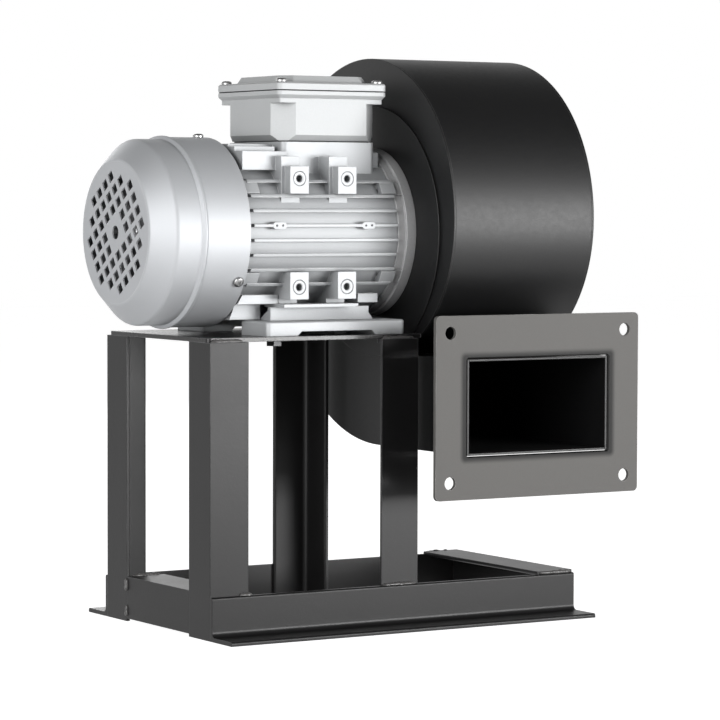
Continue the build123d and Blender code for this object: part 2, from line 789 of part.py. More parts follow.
def make_shields():
    add_on_axis("front_end_shield", front_shield())
    add_on_axis("rear_end_shield", rear_shield())
    make_bearing("front", front_bearing_x)
    make_bearing("rear", rear_bearing_x)

    screw = rod(-shield_screw_length, 0, m4_radius) + rod(0, m4_cap_height, m4_cap_radius)
    socket_floor = m4_cap_height - m4_socket_depth
    screw -= along_x(hexagon(m4_socket_flats), socket_floor, socket_floor + over)
    front = Pos(flange_face_x - cap_sink_depth, 0, 0) * screw
    rear = Pos(housing_rear_x - shield_wall, 0, 0) * Rot(0, 0, 180) * screw
    screws = [at_angle(angle, shield_screw_circle, place) for place in (front, rear) for angle in lug_angles()]
    add_on_axis("end_shield_screws", separate(screws))

    # Rubber seal: a ring in the shield's bore with a slanting lip that runs on the shaft
    x0 = flange_back_x
    lip_radius = shaft_end_radius + running_gap
    wall_radius = bearing_outer_radius - seal_wall
    seal = turned([(x0, bearing_outer_radius), (x0, wall_radius - seal_wall), (x0 + seal_wall, lip_radius),
                   (x0 + 2 * seal_wall, lip_radius), (x0 + 2 * seal_wall, lip_radius + seal_wall),
                   (x0 + 3 * seal_wall, wall_radius), (x0 + seal_length, wall_radius),
                   (x0 + seal_length, bearing_outer_radius)])
    add_on_axis("shaft_seal", seal)


# Stator and rotor

def make_stator():
    slot_start = stator_bore_radius + slot_lip
    slot_end = slot_start + slot_depth
    slot_middle = (slot_start + slot_end) / 2
    slot = Pos(slot_middle, 0) * Rectangle(slot_depth, slot_width)
    mouth = Pos(stator_bore_radius + slot_lip / 2, 0) * Rectangle(2 * slot_lip, slot_mouth)
    turns = [Rot(0, 0, 360 * i / stator_slots) for i in range(stator_slots)]
    slots = Sketch() + [turn * (slot + mouth) for turn in turns]
    ring = Circle(housing_bore_radius) - Circle(stator_bore_radius)
    add_on_axis("stator_core", along_x(ring - slots, core_rear_x, core_front_x))

    bar = Pos(slot_middle, 0) * Rectangle(slot_depth - 2 * shank_fit, slot_width - 2 * shank_fit)
    pieces = [along_x(turn * bar, core_rear_x, core_front_x) for turn in turns]
    for end, way in ((core_rear_x, -1), (core_front_x, 1)):
        shoulder = end + way * (winding_overhang - winding_bevel)
        stop = end + way * winding_overhang
        pieces.append(turned([(end, slot_start), (shoulder, slot_start), (stop, slot_start + winding_bevel),
                              (stop, slot_end - winding_bevel), (shoulder, slot_end), (end, slot_end)]))
    add_on_axis("stator_windings", separate(pieces))


def make_rotor():
    rotor_radius = stator_bore_radius - air_gap
    add_on_axis("rotor_core", tube(core_rear_x, core_front_x, rotor_radius, shaft_core_radius))
    ring_inner = rotor_radius - rotor_cage_ring_wall
    ring = tube(0, rotor_cage_ring_length, rotor_radius, ring_inner)
    fin = slab(rotor_cage_ring_length, rotor_cage_ring_length + rotor_cage_fin_reach, ring_inner + fin_thickness,
               rotor_radius - fin_thickness, -fin_thickness / 2, fin_thickness / 2)
    ring += around(rotor_cage_fins, 0, fin)
    rear_ring = Pos(core_rear_x, 0, 0) * Rot(0, 0, 180) * ring
    add_on_axis("rotor_cage_rings", separate([rear_ring, Pos(core_front_x, 0, 0) * ring]))

    rear_shoulder = rear_bearing_x + bearing_width / 2
    rear_journal = rear_bearing_x - bearing_width / 2 - shield_lip
    front_shoulder = front_bearing_x - bearing_width / 2
    front_journal = front_bearing_x + bearing_width / 2
    shaft = turned([
        (shaft_rear_x, 0), (shaft_rear_x, fan_seat_radius - shaft_bevel),
        (shaft_rear_x + shaft_bevel, fan_seat_radius), (rear_journal, fan_seat_radius),
        (rear_journal, journal_radius), (rear_shoulder, journal_radius), (rear_shoulder, shaft_core_radius),
        (front_shoulder, shaft_core_radius), (front_shoulder, journal_radius), (front_journal, journal_radius),
        (front_journal, shaft_end_radius), (shaft_front_x - shaft_bevel, shaft_end_radius),
        (shaft_front_x, shaft_end_radius - shaft_bevel), (shaft_front_x, 0)])
    shaft -= key_block(0)
    shaft -= rod(hub_front_x - hub_bolt_length, shaft_front_x + over, m5_radius + thread_fit)
    half_groove = circlip_thickness / 2 + thread_fit
    shaft -= tube(circlip_x - half_groove, circlip_x + half_groove, fan_seat_radius + over,
                  fan_seat_radius - circlip_groove_depth)
    add_on_axis("rotor_shaft", shaft)


def key_block(fit):
    """The square key of the impeller, or its slot when a fit is given."""
    centre_x = (hub_rear_x + shaft_front_x) / 2
    half = key_length / 2 + fit
    side = key_width / 2 + fit
    return slab(centre_x - half, centre_x + half, -side, side,
                shaft_end_radius - key_sink - fit, shaft_end_radius + key_rise + fit)


# Cooling fan and cowl

def make_cooling_fan():
    hub = fan_seat_radius + fan_hub_wall
    fan = tube(fan_rear_x, fan_front_x, hub, fan_seat_radius)
    fan += tube(fan_front_x - fan_disc_thickness, fan_front_x, fan_radius, fan_seat_radius + over)
    blade = slab(fan_rear_x + fan_disc_thickness, fan_front_x, hub - fan_disc_thickness,
                 fan_radius - fan_disc_thickness, -fan_blade_thickness / 2, fan_blade_thickness / 2)
    add_on_axis("cooling_fan", fan + around(fan_blades, 0, blade))

    half = circlip_thickness / 2
    clip = tube(circlip_x - half, circlip_x + half, fan_seat_radius + circlip_reach,
                fan_seat_radius - circlip_groove_depth)
    clip -= slab(circlip_x - over, circlip_x + over, 0, 2 * fan_seat_radius,
                 -circlip_mouth / 2, circlip_mouth / 2)
    add_on_axis("fan_circlip", clip)


def cowl_form(inset):
    """The cowl as a full body: a flat face, a cone, the step at the bead and the rim. With an inset it is
    the space inside the wall."""
    slope = math.atan2(cowl_front_radius - cowl_face_radius, cowl_cone_length)
    face = (cowl_face_x + inset, cowl_face_radius - inset * math.tan((math.pi / 2 - slope) / 2))
    shoulder = (cowl_face_x + cowl_cone_length + inset * math.tan(slope / 2), cowl_front_radius - inset)
    bead_x = cowl_rim_x - cowl_bead_setback
    rim_x = cowl_rim_x + (over if inset else 0)
    points = [(face[0], 0), face, shoulder, (bead_x - cowl_bead_radius, cowl_front_radius - inset),
              (bead_x, cowl_rear_radius - inset), (rim_x, cowl_rear_radius - inset), (rim_x, 0)]
    profile = make_face(Polyline(*points, close=True))
    profile = fillet(profile.vertices().sort_by_distance(face)[0], cowl_face_round - inset)
    profile = fillet(profile.vertices().sort_by_distance(shoulder)[0], cowl_shoulder_round - inset)
    return revolve(profile, Axis.X, 360)


def grille_places():
    """Centres, in Y and Z, of the square holes in the face: a turned lattice between two circles."""
    turn = math.radians(grille_turn)
    reach = int(grille_outer_radius / grille_pitch)
    steps = range(-reach, reach + 1)
    lattice = [(i * grille_pitch, j * grille_pitch) for i in steps for j in steps]
    return [(a * math.cos(turn) - b * math.sin(turn), a * math.sin(turn) + b * math.cos(turn))
            for a, b in lattice if grille_inner_radius < math.hypot(a, b) < grille_outer_radius]


def make_cowl():
    bead_radius = cowl_rear_radius + cowl_bead_height - cowl_bead_radius
    bead = Pos(cowl_rim_x - cowl_bead_setback, bead_radius) * Circle(cowl_bead_radius)
    cowl = cowl_form(0) + revolve(bead, Axis.X, 360) - cowl_form(cowl_wall)
    hole = Rot(grille_turn, 0, 0) * Box(2 * cowl_wall + over, grille_hole, grille_hole)
    cowl -= [Pos(cowl_face_x, y, z) * hole for y, z in grille_places()]
    cowl -= rod(cowl_face_x - over, cowl_face_x + over, cowl_centre_hole_radius)
    screw_way = Cylinder(m4_radius + shank_fit, 2 * cowl_wall + over)
    cowl -= [radial(angle, cowl_screw_x, cowl_rear_radius) * screw_way for angle in cowl_screw_angles()]
    add_on_axis("fan_cowl", cowl)

    screw = Rot(0, -90, 0) * pan_screw(cowl_screw_length)
    places = [radial(angle, cowl_screw_x, cowl_rear_radius) for angle in cowl_screw_angles()]
    add_on_axis("cowl_screws", separate([place * screw for place in places]))


# Terminal box

def rounded_block(length, width, z0, z1, radius):
    """A block over the terminal box's centre, with its upright edges rounded."""
    section = Pos(box_centre_x, 0) * RectangleRounded(length, width, radius)
    return extrude(Plane.XY.offset(z0) * section, z1 - z0)


def cut_rectangle(length, width, cut, inset):
    """A rectangle over the box's centre with its corners cut at 45 degrees, all of it moved in by an inset."""
    section = Rectangle(length - 2 * inset, width - 2 * inset)
    return Pos(box_centre_x, 0) * chamfer(section.vertices(), cut + (math.sqrt(2) - 2) * inset)


def lid_screw_places():
    x = lid_length / 2 - lid_screw_inset
    y = lid_width / 2 - lid_screw_inset
    return [(box_centre_x + sx * x, sy * y) for sx in (-1, 1) for sy in (-1, 1)]


def box_hollow(z0, z1):
    """The inside of the box, which keeps the wall's thickness behind the cut corners too."""
    return extrude(Plane.XY.offset(z0) * cut_rectangle(box_length, box_width, box_corner_cut, box_wall), z1 - z0)


def entry_place(side):
    """A cable entry on the hidden side of the box, with its axis turned to point outwards."""
    return Pos(box_centre_x + side * entry_spacing / 2, box_width / 2, box_bottom + entry_rise) * Rot(-90, 0, 0)


def box_body():
    """The box: cut corners over bevelled sides, then a square shelf and the rim that carries the lid."""
    block = Pos(box_centre_x, 0, box_bottom + box_height / 2) * Box(box_length, box_width, box_height)
    block = chamfer(block.faces().sort_by(Axis.Z)[0].edges(), box_foot_bevel)
    body = block & extrude(Plane.XY.offset(box_bottom) * cut_rectangle(box_length, box_width, box_corner_cut, 0),
                           box_height)
    body += rounded_block(box_length, box_width, box_top, shelf_top, box_shelf_corner_radius)
    rim = rounded_block(lid_length, lid_width, shelf_top, rim_top, lid_corner_radius)
    body += chamfer(rim.faces().sort_by(Axis.Z)[0].edges(), box_rim_bevel)
    body -= box_hollow(box_bottom + box_wall, rim_top + over)
    body -= Pos(neck_centre_x, 0, box_bottom) * Box(wire_way_length, wire_way_width, 2 * box_wall + over)
    threads = Cylinder(m4_radius + thread_fit, 2 * (rim_top - box_top))
    body -= [Pos(x, y, rim_top) * threads for x, y in lid_screw_places()]
    return body - [entry_place(side) * Cylinder(entry_radius, 2 * box_wall + over) for side in (-1, 1)]


def crown_section(inset):
    """The outline of the raised middle of the lid at its foot, moved in by an inset."""
    return cut_rectangle(lid_length - 2 * lid_crown_inset, lid_width - 2 * lid_crown_inset, lid_crown_cut, inset)


def crown(inset, z0, z1):
    """The raised middle of the lid, with sloping sides, moved in by an inset."""
    return loft([Plane.XY.offset(z0) * crown_section(inset),
                 Plane.XY.offset(z1) * crown_section(inset + lid_crown_slope)])


def make_lid():
    screw_way = Cylinder(m4_radius + shank_fit, 2 * (lid_flat - rim_top) + over)
    screw_ways = [Pos(x, y, rim_top) * screw_way for x, y in lid_screw_places()]
    gasket = rounded_block(lid_length - 2 * gasket_inset, lid_width - 2 * gasket_inset, rim_top, lid_base,
                           lid_corner_radius)
    add_on_axis("lid_gasket", gasket - box_hollow(rim_top - over, lid_base + over) - screw_ways)

    lid = rounded_block(lid_length, lid_width, lid_base, lid_flat, lid_corner_radius)
    lid = chamfer(lid.faces().sort_by(Axis.Z)[-1].edges(), lid_edge_bevel)
    lid += crown(0, lid_flat, lid_flat + lid_crown_height)
    lid -= extrude(Plane.XY.offset(lid_base - over) * crown_section(0), lid_rim_height + over - lid_wall)
    lid -= crown(lid_wall, lid_flat - lid_wall, lid_flat + lid_crown_height - lid_wall)
    add_on_axis("terminal_box_lid", lid - screw_ways)
    screw = Rot(0, -90, 0) * pan_screw(lid_screw_length)
    add_on_axis("lid_screws", separate([Pos(x, y, lid_flat) * screw for x, y in lid_screw_places()]))


def make_terminal_board():
    floor = box_bottom + box_wall
    board_top = floor + board_thickness
    board_x = box_centre_x + board_shift
    board = Pos(board_x, 0, floor + board_thickness / 2) * Box(board_length, board_width, board_thickness)
    stud = Pos(0, 0, stud_length / 2 - stud_sink) * Cylinder(m4_radius, stud_length)
    stud += extrude(hexagon(2 * stud_nut_radius), stud_nut_height)
    places = [Pos(board_x + row * stud_pitch_x / 2, column * stud_pitch_y, board_top)
              for row in (-1, 1) for column in (-1, 0, 1)]
    hole = Cylinder(m4_radius + thread_fit, 2 * stud_sink)
    add_on_axis("terminal_board", board - [place * hole for place in places])
    add_on_axis("terminal_studs", separate([place * stud for place in places]))


def make_terminal_box():
    foot_cut = box_corner_cut - 2 * box_foot_bevel
    foot_section = cut_rectangle(box_length - 2 * box_foot_bevel, box_width - 2 * box_foot_bevel, foot_cut,
                                 neck_gasket_inset)
    seal = extrude(Plane.XY.offset(neck_top) * foot_section, gasket_thickness)
    seal -= Pos(neck_centre_x, 0, neck_top) * Box(wire_way_length, wire_way_width, over)
    add_on_axis("box_seat_gasket", seal)
    add_on_axis("terminal_box", box_body())
    make_lid()
    make_terminal_board()

    # A cable gland and a blanking plug stand in the two entries, flanges seated on the wall
    stem = Cylinder(entry_radius - entry_fit, box_wall, align=(Align.CENTER, Align.CENTER, Align.MAX))
    gland = stem + extrude(RegularPolygon(gland_flange_radius, 6), gland_flange_height)
    nut_top = gland_flange_height + gland_nut_height
    gland += Pos(0, 0, gland_flange_height) * Cylinder(gland_nut_radius, gland_nut_height,
                                                       align=(Align.CENTER, Align.CENTER, Align.MIN))
    gland += Pos(0, 0, nut_top) * Cone(gland_nut_radius, gland_nose_radius, gland_nose_height,
                                       align=(Align.CENTER, Align.CENTER, Align.MIN))
    gland -= Cylinder(gland_bore_radius, 2 * (nut_top + gland_nose_height + over))
    add_on_axis("cable_gland", entry_place(1) * gland)
    plug = stem + extrude(RegularPolygon(plug_head_radius, 6), plug_head_height)
    add_on_axis("blanking_plug", entry_place(-1) * plug)


# Scroll casing

def tongue_tip_y():
    """Where the spiral's outside meets the top of the outlet duct."""
    half = scroll_growth / 2
    drop = half + scroll_rise - duct_top
    return -half - math.sqrt((scroll_start_radius - half) ** 2 - drop ** 2)


def scroll_outline(inset):
    """The outline of the scroll and its duct in Y and Z, moved in by a wall. The spiral is made of four
    arcs whose centres are the corners of a square with the growth as its side. The inside, which is
    moved in, starts with a rounded tongue between the spiral and the duct."""
    half = scroll_growth / 2
    z = scroll_rise
    start = scroll_start_radius - inset
    r0 = start - half
    r1 = start + half
    r2 = r1 + scroll_growth
    r3 = r2 + scroll_growth
    bottom = duct_bottom + inset
    top = duct_top - inset
    front = (-start, half + z)
    upper = (half, half + z + r1)
    back = (half + r2, -half + z)
    lower = (-half, -half + z - r3)
    tip_y = tongue_tip_y() + (tongue_reach if inset else 0)
    tip = (tip_y, top)
    arc_end = (tip_y, half + z - math.sqrt(r0 ** 2 - (tip_y + half) ** 2)) if inset else tip
    middle = (math.atan2(arc_end[1] - half - z, arc_end[0] + half) - math.pi) / 2
    eighth = math.sqrt(0.5)
    edges = [
        ThreePointArc(arc_end, (-half + r0 * math.cos(middle), half + z + r0 * math.sin(middle)), front),
        ThreePointArc(front, (half - r1 * eighth, half + z + r1 * eighth), upper),
        ThreePointArc(upper, (half + r2 * eighth, -half + z + r2 * eighth), back),
        ThreePointArc(back, (-half + r3 * eighth, -half + z - r3 * eighth), lower),
        Line(lower, (duct_end_y, bottom)),
        Line((duct_end_y, bottom), (duct_end_y, top)),
        Line((duct_end_y, top), tip),
    ]
    if inset:
        edges.append(ThreePointArc(tip, (tip_y + tongue_round, (top + arc_end[1]) / 2), arc_end))
    return make_face(edges)


def make_scroll():
    outer = scroll_outline(0)
    inner = scroll_outline(sheet)
    add_on_axis("scroll_wrapper", along_x(outer - inner, sheet, scroll_width - sheet))

    spigot_way = rod(flange_face_x - over, sheet + over, flange_spigot_radius + spigot_fit)
    screw_way = rod(flange_face_x - over, sheet + over, m6_radius + shank_fit)
    ways = [at_angle(angle, flange_screw_circle, screw_way) for angle in flange_screw_angles()]
    add_on_axis("scroll_back_plate", along_x(outer, 0, sheet) - spigot_way - ways)
    add_on_axis("motor_mount_disc", rod(flange_face_x, 0, mount_disc_radius) - spigot_way - ways)
    screw = Pos(sheet, 0, 0) * hex_screw(m6_radius, flange_screw_length, m6_head_flats, m6_head_height)
    screws = [at_angle(angle, flange_screw_circle, screw) for angle in flange_screw_angles()]
    add_on_axis("motor_flange_screws", separate(screws))

    front_plate = along_x(outer, scroll_width - sheet, scroll_width)
    front_plate -= rod(scroll_width - over, scroll_width + over, inlet_passage_radius)
    threads = rod(scroll_width - over, scroll_width + over, m4_radius + thread_fit)
    add_on_axis("scroll_front_plate", front_plate - [at_angle(angle, inlet_screw_circle, threads)
                                                     for angle in inlet_screw_angles()])


def inlet_screw_angles():
    return [(i + 0.5) * 360 / inlet_screws for i in range(inlet_screws)]


def make_inlet():
    """The inlet ring: a flat rim on the side plate that turns in to a nozzle."""
    seat = scroll_width
    face = seat + sheet
    throat = inlet_throat_radius
    rounding = inlet_mouth_round
    nozzle_x = seat - inlet_nozzle_length
    edges = [
        Line((face, inlet_ring_radius), (seat, inlet_ring_radius)),
        Line((seat, inlet_ring_radius), (seat, throat + rounding)),
        RadiusArc((seat, throat + rounding), (face - rounding, throat + sheet), rounding - sheet),
        Line((face - rounding, throat + sheet), (nozzle_x, throat + sheet)),
        Line((nozzle_x, throat + sheet), (nozzle_x, throat)),
        Line((nozzle_x, throat), (face - rounding, throat)),
        RadiusArc((face - rounding, throat), (face, throat + rounding), -rounding),
        Line((face, throat + rounding), (face, inlet_ring_radius)),
    ]
    ring = revolve(make_face(edges), Axis.X, 360)
    way = rod(seat - over, face + over, m4_radius + shank_fit)
    ring -= [at_angle(angle, inlet_screw_circle, way) for angle in inlet_screw_angles()]
    add_on_axis("inlet_ring", ring)
    screw = Pos(face, 0, 0) * pan_screw(ring_screw_length)
    screws = [at_angle(angle, inlet_screw_circle, screw) for angle in inlet_screw_angles()]
    add_on_axis("inlet_ring_screws", separate(screws))


def make_outlet_flange():
    front = Plane.XZ.offset(-outlet_flange_front_y) * Pos(scroll_centre_x, duct_middle)
    plate = RectangleRounded(outlet_flange_width, outlet_flange_height, outlet_flange_corner)
    window = RectangleRounded(scroll_width + 2 * outlet_fit, duct_height + 2 * outlet_fit, outlet_window_corner)
    flange = extrude(front * (plate - window), -outlet_flange_thickness)
    rim = flange.faces().sort_by(Axis.Y)[0].inner_wires()[0].edges()
    flange = chamfer(rim, outlet_window_bevel)
    hole = front * Cylinder(outlet_hole_radius, 2 * outlet_flange_thickness + over)
    half_x = outlet_flange_width / 2 - outlet_hole_margin
    half_z = outlet_flange_height / 2 - outlet_hole_margin
    holes = [Pos(sx * half_x, 0, sz * half_z) * hole for sx in (-1, 1) for sz in (-1, 1)]
    add_on_axis("outlet_flange", flange - holes)


# Impeller

def blade_section():
    """The section of one blade in Y and Z, at the +Y side. The wheel turns from +Y down to -Z."""
    inner = blade_arc_radius - blade_thickness / 2
    outer = blade_arc_radius + blade_thickness / 2

    def point(radius, degrees):
        a = math.radians(degrees)
        return (blade_inner_radius + radius * math.sin(a), radius * math.cos(a) - blade_arc_radius)

    half = blade_arc_angle / 2
    edges = [
        ThreePointArc(point(outer, 0), point(outer, half), point(outer, blade_arc_angle)),
        Line(point(outer, blade_arc_angle), point(inner, blade_arc_angle)),
        ThreePointArc(point(inner, blade_arc_angle), point(inner, half), point(inner, 0)),
        Line(point(inner, 0), point(outer, 0)),
    ]
    return make_face(edges)


def make_impeller():
    x0 = impeller_gap
    plate_x = x0 + wheel_sheet
    flange_x = plate_x + hub_flange_thickness
    rivet_way = rod(x0 - over, flange_x + over, m4_radius + thread_fit)
    rivet_ways = around(hub_rivets, 0, Pos(0, 0, hub_rivet_circle) * rivet_way)

    hub = tube(hub_rear_x, hub_front_x, hub_radius, shaft_end_radius)
    hub += tube(plate_x, flange_x, hub_flange_radius, shaft_end_radius)
    add_on_axis("impeller_hub", hub - key_block(thread_fit) - rivet_ways)
    add_on_axis("impeller_key", key_block(0))
    rear_head = x0 - rivet_head_height
    front_head = flange_x + rivet_head_height
    rivet = turned([(rear_head, 0), (rear_head, rivet_head_radius), (x0, rivet_head_radius), (x0, m4_radius),
                    (flange_x, m4_radius), (flange_x, rivet_head_radius), (front_head, rivet_head_radius),
                    (front_head, 0)])
    add_on_axis("impeller_rivets", separate(around(hub_rivets, 0, Pos(0, 0, hub_rivet_circle) * rivet)))

    ring_x = wheel_front_x - wheel_sheet
    add_on_axis("impeller_back_plate", tube(x0, plate_x, wheel_rim_radius, hub_radius) - rivet_ways)
    front_ring = tube(ring_x, wheel_front_x, wheel_rim_radius, blade_inner_radius - wheel_lip)
    add_on_axis("impeller_front_ring", front_ring)
    blade = along_x(blade_section(), plate_x, ring_x)
    add_on_axis("impeller_blades", separate(around(blade_count, 0, blade)))

    washer_x = hub_front_x + hub_washer_thickness
    add_on_axis("impeller_washer", tube(hub_front_x, washer_x, hub_washer_radius, m5_radius + shank_fit))
    bolt = hex_screw(m5_radius, hub_bolt_length, m5_head_flats, m5_head_height)
    add_on_axis("impeller_bolt", Pos(washer_x, 0, 0) * bolt)


make_stand()
make_motor_body()
make_shields()
make_stator()
make_rotor()
make_cooling_fan()
make_cowl()
make_terminal_box()
make_scroll()
make_inlet()
make_outlet_flange()
make_impeller()

os.makedirs("parts", exist_ok=True)
for name, shape in nodes.items():
    export_step(shape, f"parts/{name}.step")
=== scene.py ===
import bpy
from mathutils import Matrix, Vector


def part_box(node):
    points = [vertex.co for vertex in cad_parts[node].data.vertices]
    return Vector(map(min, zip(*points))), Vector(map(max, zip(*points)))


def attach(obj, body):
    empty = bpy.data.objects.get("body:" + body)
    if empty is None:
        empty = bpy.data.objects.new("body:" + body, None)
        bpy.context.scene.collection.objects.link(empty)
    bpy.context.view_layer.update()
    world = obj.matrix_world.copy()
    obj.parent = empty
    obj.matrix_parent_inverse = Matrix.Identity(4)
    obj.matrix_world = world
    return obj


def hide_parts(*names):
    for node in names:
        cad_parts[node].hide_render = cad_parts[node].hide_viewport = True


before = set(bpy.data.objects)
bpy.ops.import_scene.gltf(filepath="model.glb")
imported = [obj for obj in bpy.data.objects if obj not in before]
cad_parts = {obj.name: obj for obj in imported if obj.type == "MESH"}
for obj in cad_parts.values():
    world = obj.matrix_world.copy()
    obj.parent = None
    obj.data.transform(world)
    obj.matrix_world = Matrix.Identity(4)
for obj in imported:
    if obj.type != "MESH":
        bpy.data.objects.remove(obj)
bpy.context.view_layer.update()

import math
import random

import bmesh
import bpy
from mathutils import Matrix, Vector


# Stand: four legs and four base rails of hot-rolled steel angle, cut square and welded at the corners, then
# sprayed in satin charcoal. The rolled faces keep a faint ripple, and the corners wear to bare metal.

def put(material, kind, values=(), **settings):
    """Adds a shader node. A value is a number, a colour or another node's output."""
    node = material.node_tree.nodes.new(kind)
    for key, value in settings.items():
        setattr(node, key, value)
    for socket, value in dict(values).items():
        if isinstance(value, bpy.types.NodeSocket):
            material.node_tree.links.new(value, node.inputs[socket])
        else:
            node.inputs[socket].default_value = value
    return node


def ranged(material, value, low, high, to_low=0.0, to_high=1.0, **settings):
    """Maps a value from one range to another, and holds it at the ends."""
    limits = {"From Min": low, "From Max": high, "To Min": to_low, "To Max": to_high}
    return put(material, "ShaderNodeMapRange", {"Value": value, **limits}, **settings).outputs["Result"]


def calculated(material, operation, *values, **settings):
    """The result of one operation on one, two or three values."""
    node = put(material, "ShaderNodeMath", dict(enumerate(values)), operation=operation, **settings)
    return node.outputs["Value"]


def scaled(material, colour, factor):
    """A colour made darker or lighter by a factor that may vary."""
    values = {0: colour, "Scale": factor}
    return put(material, "ShaderNodeVectorMath", values, operation="SCALE").outputs["Vector"]


def mixed(material, share, first, second):
    """One colour, with a share of a second. The node has an output of each kind, all under one name."""
    mix = put(material, "ShaderNodeMix", {"Factor": share, "A": first, "B": second}, data_type="RGBA")
    return next(output for output in mix.outputs if output.type == "RGBA")


def shade(colour, factor=1.0):
    """A colour made darker or lighter by a fixed factor, and opaque."""
    return tuple(channel * factor for channel in colour) + (1.0,)


def mottle(material, place, size, detail, roughness):
    """Soft random noise with features of about one size."""
    values = {"Vector": place, "Scale": 1 / size, "Detail": detail, "Roughness": roughness}
    return put(material, "ShaderNodeTexNoise", values).outputs["Fac"]


def bared_edges(material, soft_normal, patches, amount):
    """How far the metal is laid bare: along the edges, where the rounded normal leaves the flat one, and
    more in some patches than in others."""
    still_flat = 0.995
    fully_sharp = 0.93
    normals = {0: soft_normal, 1: put(material, "ShaderNodeNewGeometry").outputs["Normal"]}
    likeness = put(material, "ShaderNodeVectorMath", normals, operation="DOT_PRODUCT").outputs["Value"]
    edge = ranged(material, likeness, still_flat, fully_sharp)
    chipped = ranged(material, patches, low=0.42, high=0.62, to_low=0.15, to_high=1.0)
    bared = calculated(material, "MULTIPLY", edge, chipped)
    return calculated(material, "MULTIPLY", bared, amount, use_clamp=True)


def shaded_recesses(material, colour, recess_shade):
    """Paints shade into a colour in grooves and corners, where nearby surfaces block the light."""
    groove_depth = 0.014
    nearby = put(material, "ShaderNodeAmbientOcclusion", {"Distance": groove_depth}, samples=6)
    recess_shading = ranged(material, nearby.outputs["AO"], low=0.25, high=0.9, to_low=1 - recess_shade, to_high=1.0)
    return scaled(material, colour, recess_shading)


def shaded_tops(material, colour, top_shade):
    """Paints shade on the faces that look up, mixing their colour towards a darker grey."""
    top_shade_grey = (0.20, 0.20, 0.195)
    flat_normal = put(material, "ShaderNodeNewGeometry").outputs["Normal"]
    upward = put(material, "ShaderNodeSeparateXYZ", {0: flat_normal}).outputs["Z"]
    top_shading = ranged(material, upward, low=0.2, high=0.7, to_low=0.0, to_high=top_shade)
    return mixed(material, top_shading, colour, shade(top_shade_grey))


def metal_finish(name, colour, roughness, grain, grain_size, metallic=0.0, edge_colour=(0.80, 0.80, 0.80),
                 edge_width=0.0006, edge_wear=0.5, variation=0.12, patch_size=0.05, specular=0.5,
                 brush=None, recess_shade=0.0, top_shade=0.0):
    """A paint, casting or plating: broad colour patches, fine grain in bump and roughness, rounded edges
    and wear along them. brush stretches the grain along one direction, as on turned or brushed steel;
    the recess share paints shade into the recesses, and the top share paints shade on the faces that look
    up."""
    material = bpy.data.materials.new(name)
    material.use_nodes = True
    place = put(material, "ShaderNodeTexCoord").outputs["Object"]
    patches = mottle(material, place, patch_size, detail=5.0, roughness=0.6)
    if brush:
        place = put(material, "ShaderNodeMapping", {"Vector": place, "Scale": brush}).outputs["Vector"]
    fine = mottle(material, place, grain_size, detail=3.0, roughness=0.65)
    soft_normal = put(material, "ShaderNodeBevel", {"Radius": edge_width}, samples=6).outputs["Normal"]

    spread = variation / 2
    coat = mixed(material, patches, shade(colour, 1 - variation), shade(colour, 1 + variation))
    coat = scaled(material, coat, ranged(material, fine, 0.3, 0.7, to_low=1 - spread, to_high=1 + spread))
    # Painted shade in the grooves and corners, from ambient occlusion.
    if recess_shade:
        coat = shaded_recesses(material, coat, recess_shade)
    # Painted shade on the faces that look up.
    if top_shade:
        coat = shaded_tops(material, coat, top_shade)
    coat = mixed(material, bared_edges(material, soft_normal, patches, edge_wear), coat, shade(edge_colour))

    fine_share = roughness * 0.25
    rough = ranged(material, patches, 0.3, 0.7, to_low=roughness * (1 - spread),
                   to_high=roughness * (1 + spread))
    rough = calculated(material, "MULTIPLY_ADD", fine, fine_share, rough)
    rough = calculated(material, "SUBTRACT", rough, fine_share / 2, use_clamp=True)
    bump = put(material, "ShaderNodeBump", {"Height": fine, "Distance": grain, "Normal": soft_normal})

    shader = material.node_tree.nodes["Principled BSDF"]
    for socket, result in (("Base Color", coat), ("Roughness", rough), ("Normal", bump.outputs["Normal"])):
        material.node_tree.links.new(result, shader.inputs[socket])
    shader.inputs["Metallic"].default_value = metallic
    shader.inputs["Specular IOR Level"].default_value = specular
    return material


def dress(names, material, smooth_angle=32):
    """Gives carried-over pieces one material, with smooth shading up to an angle."""
    for name in names:
        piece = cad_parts[name]
        piece.data.materials.clear()
        piece.data.materials.append(material)
        for face in piece.data.polygons:
            face.use_smooth = True
        piece.data.set_sharp_from_angle(angle=math.radians(smooth_angle))


charcoal = (0.0085, 0.0083, 0.0085)
bare_steel = (0.24, 0.24, 0.25)
stand_paint = metal_finish("stand_paint", charcoal, roughness=0.36, specular=0.20, grain=0.00004,
                           grain_size=0.0022, edge_colour=bare_steel, edge_width=0.0008, edge_wear=0.35)
dress(["leg_front_left", "leg_front_right", "leg_rear_left", "leg_rear_right", "base_rail_front",
       "base_rail_rear", "base_rail_left", "base_rail_right"], stand_paint)


# Weld beads: short electric-arc runs at the feet and tops of the legs and where the rails meet, left lumpy
# and sprayed over with the stand.

def finished_mesh(name, form, face_outwards=False):
    """Turns a form under construction into a mesh."""
    if face_outwards:
        bmesh.ops.recalc_face_normals(form, faces=form.faces)
    mesh = bpy.data.meshes.new(name)
    form.to_mesh(mesh)
    form.free()
    return mesh


def finished_piece(name, mesh, material, smooth_angle=35):
    """Puts a mesh in the scene as a piece of the still frame, with its material and smooth shading."""
    piece = bpy.data.objects.new(name, mesh)
    bpy.context.scene.collection.objects.link(piece)
    mesh.materials.append(material)
    for face in mesh.polygons:
        face.use_smooth = True
    mesh.set_sharp_from_angle(angle=math.radians(smooth_angle))
    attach(piece, "housing")
    return piece


def circle_points(radius, steps):
    return [(radius * math.cos(2 * math.pi * i / steps), radius * math.sin(2 * math.pi * i / steps))
            for i in range(steps)]


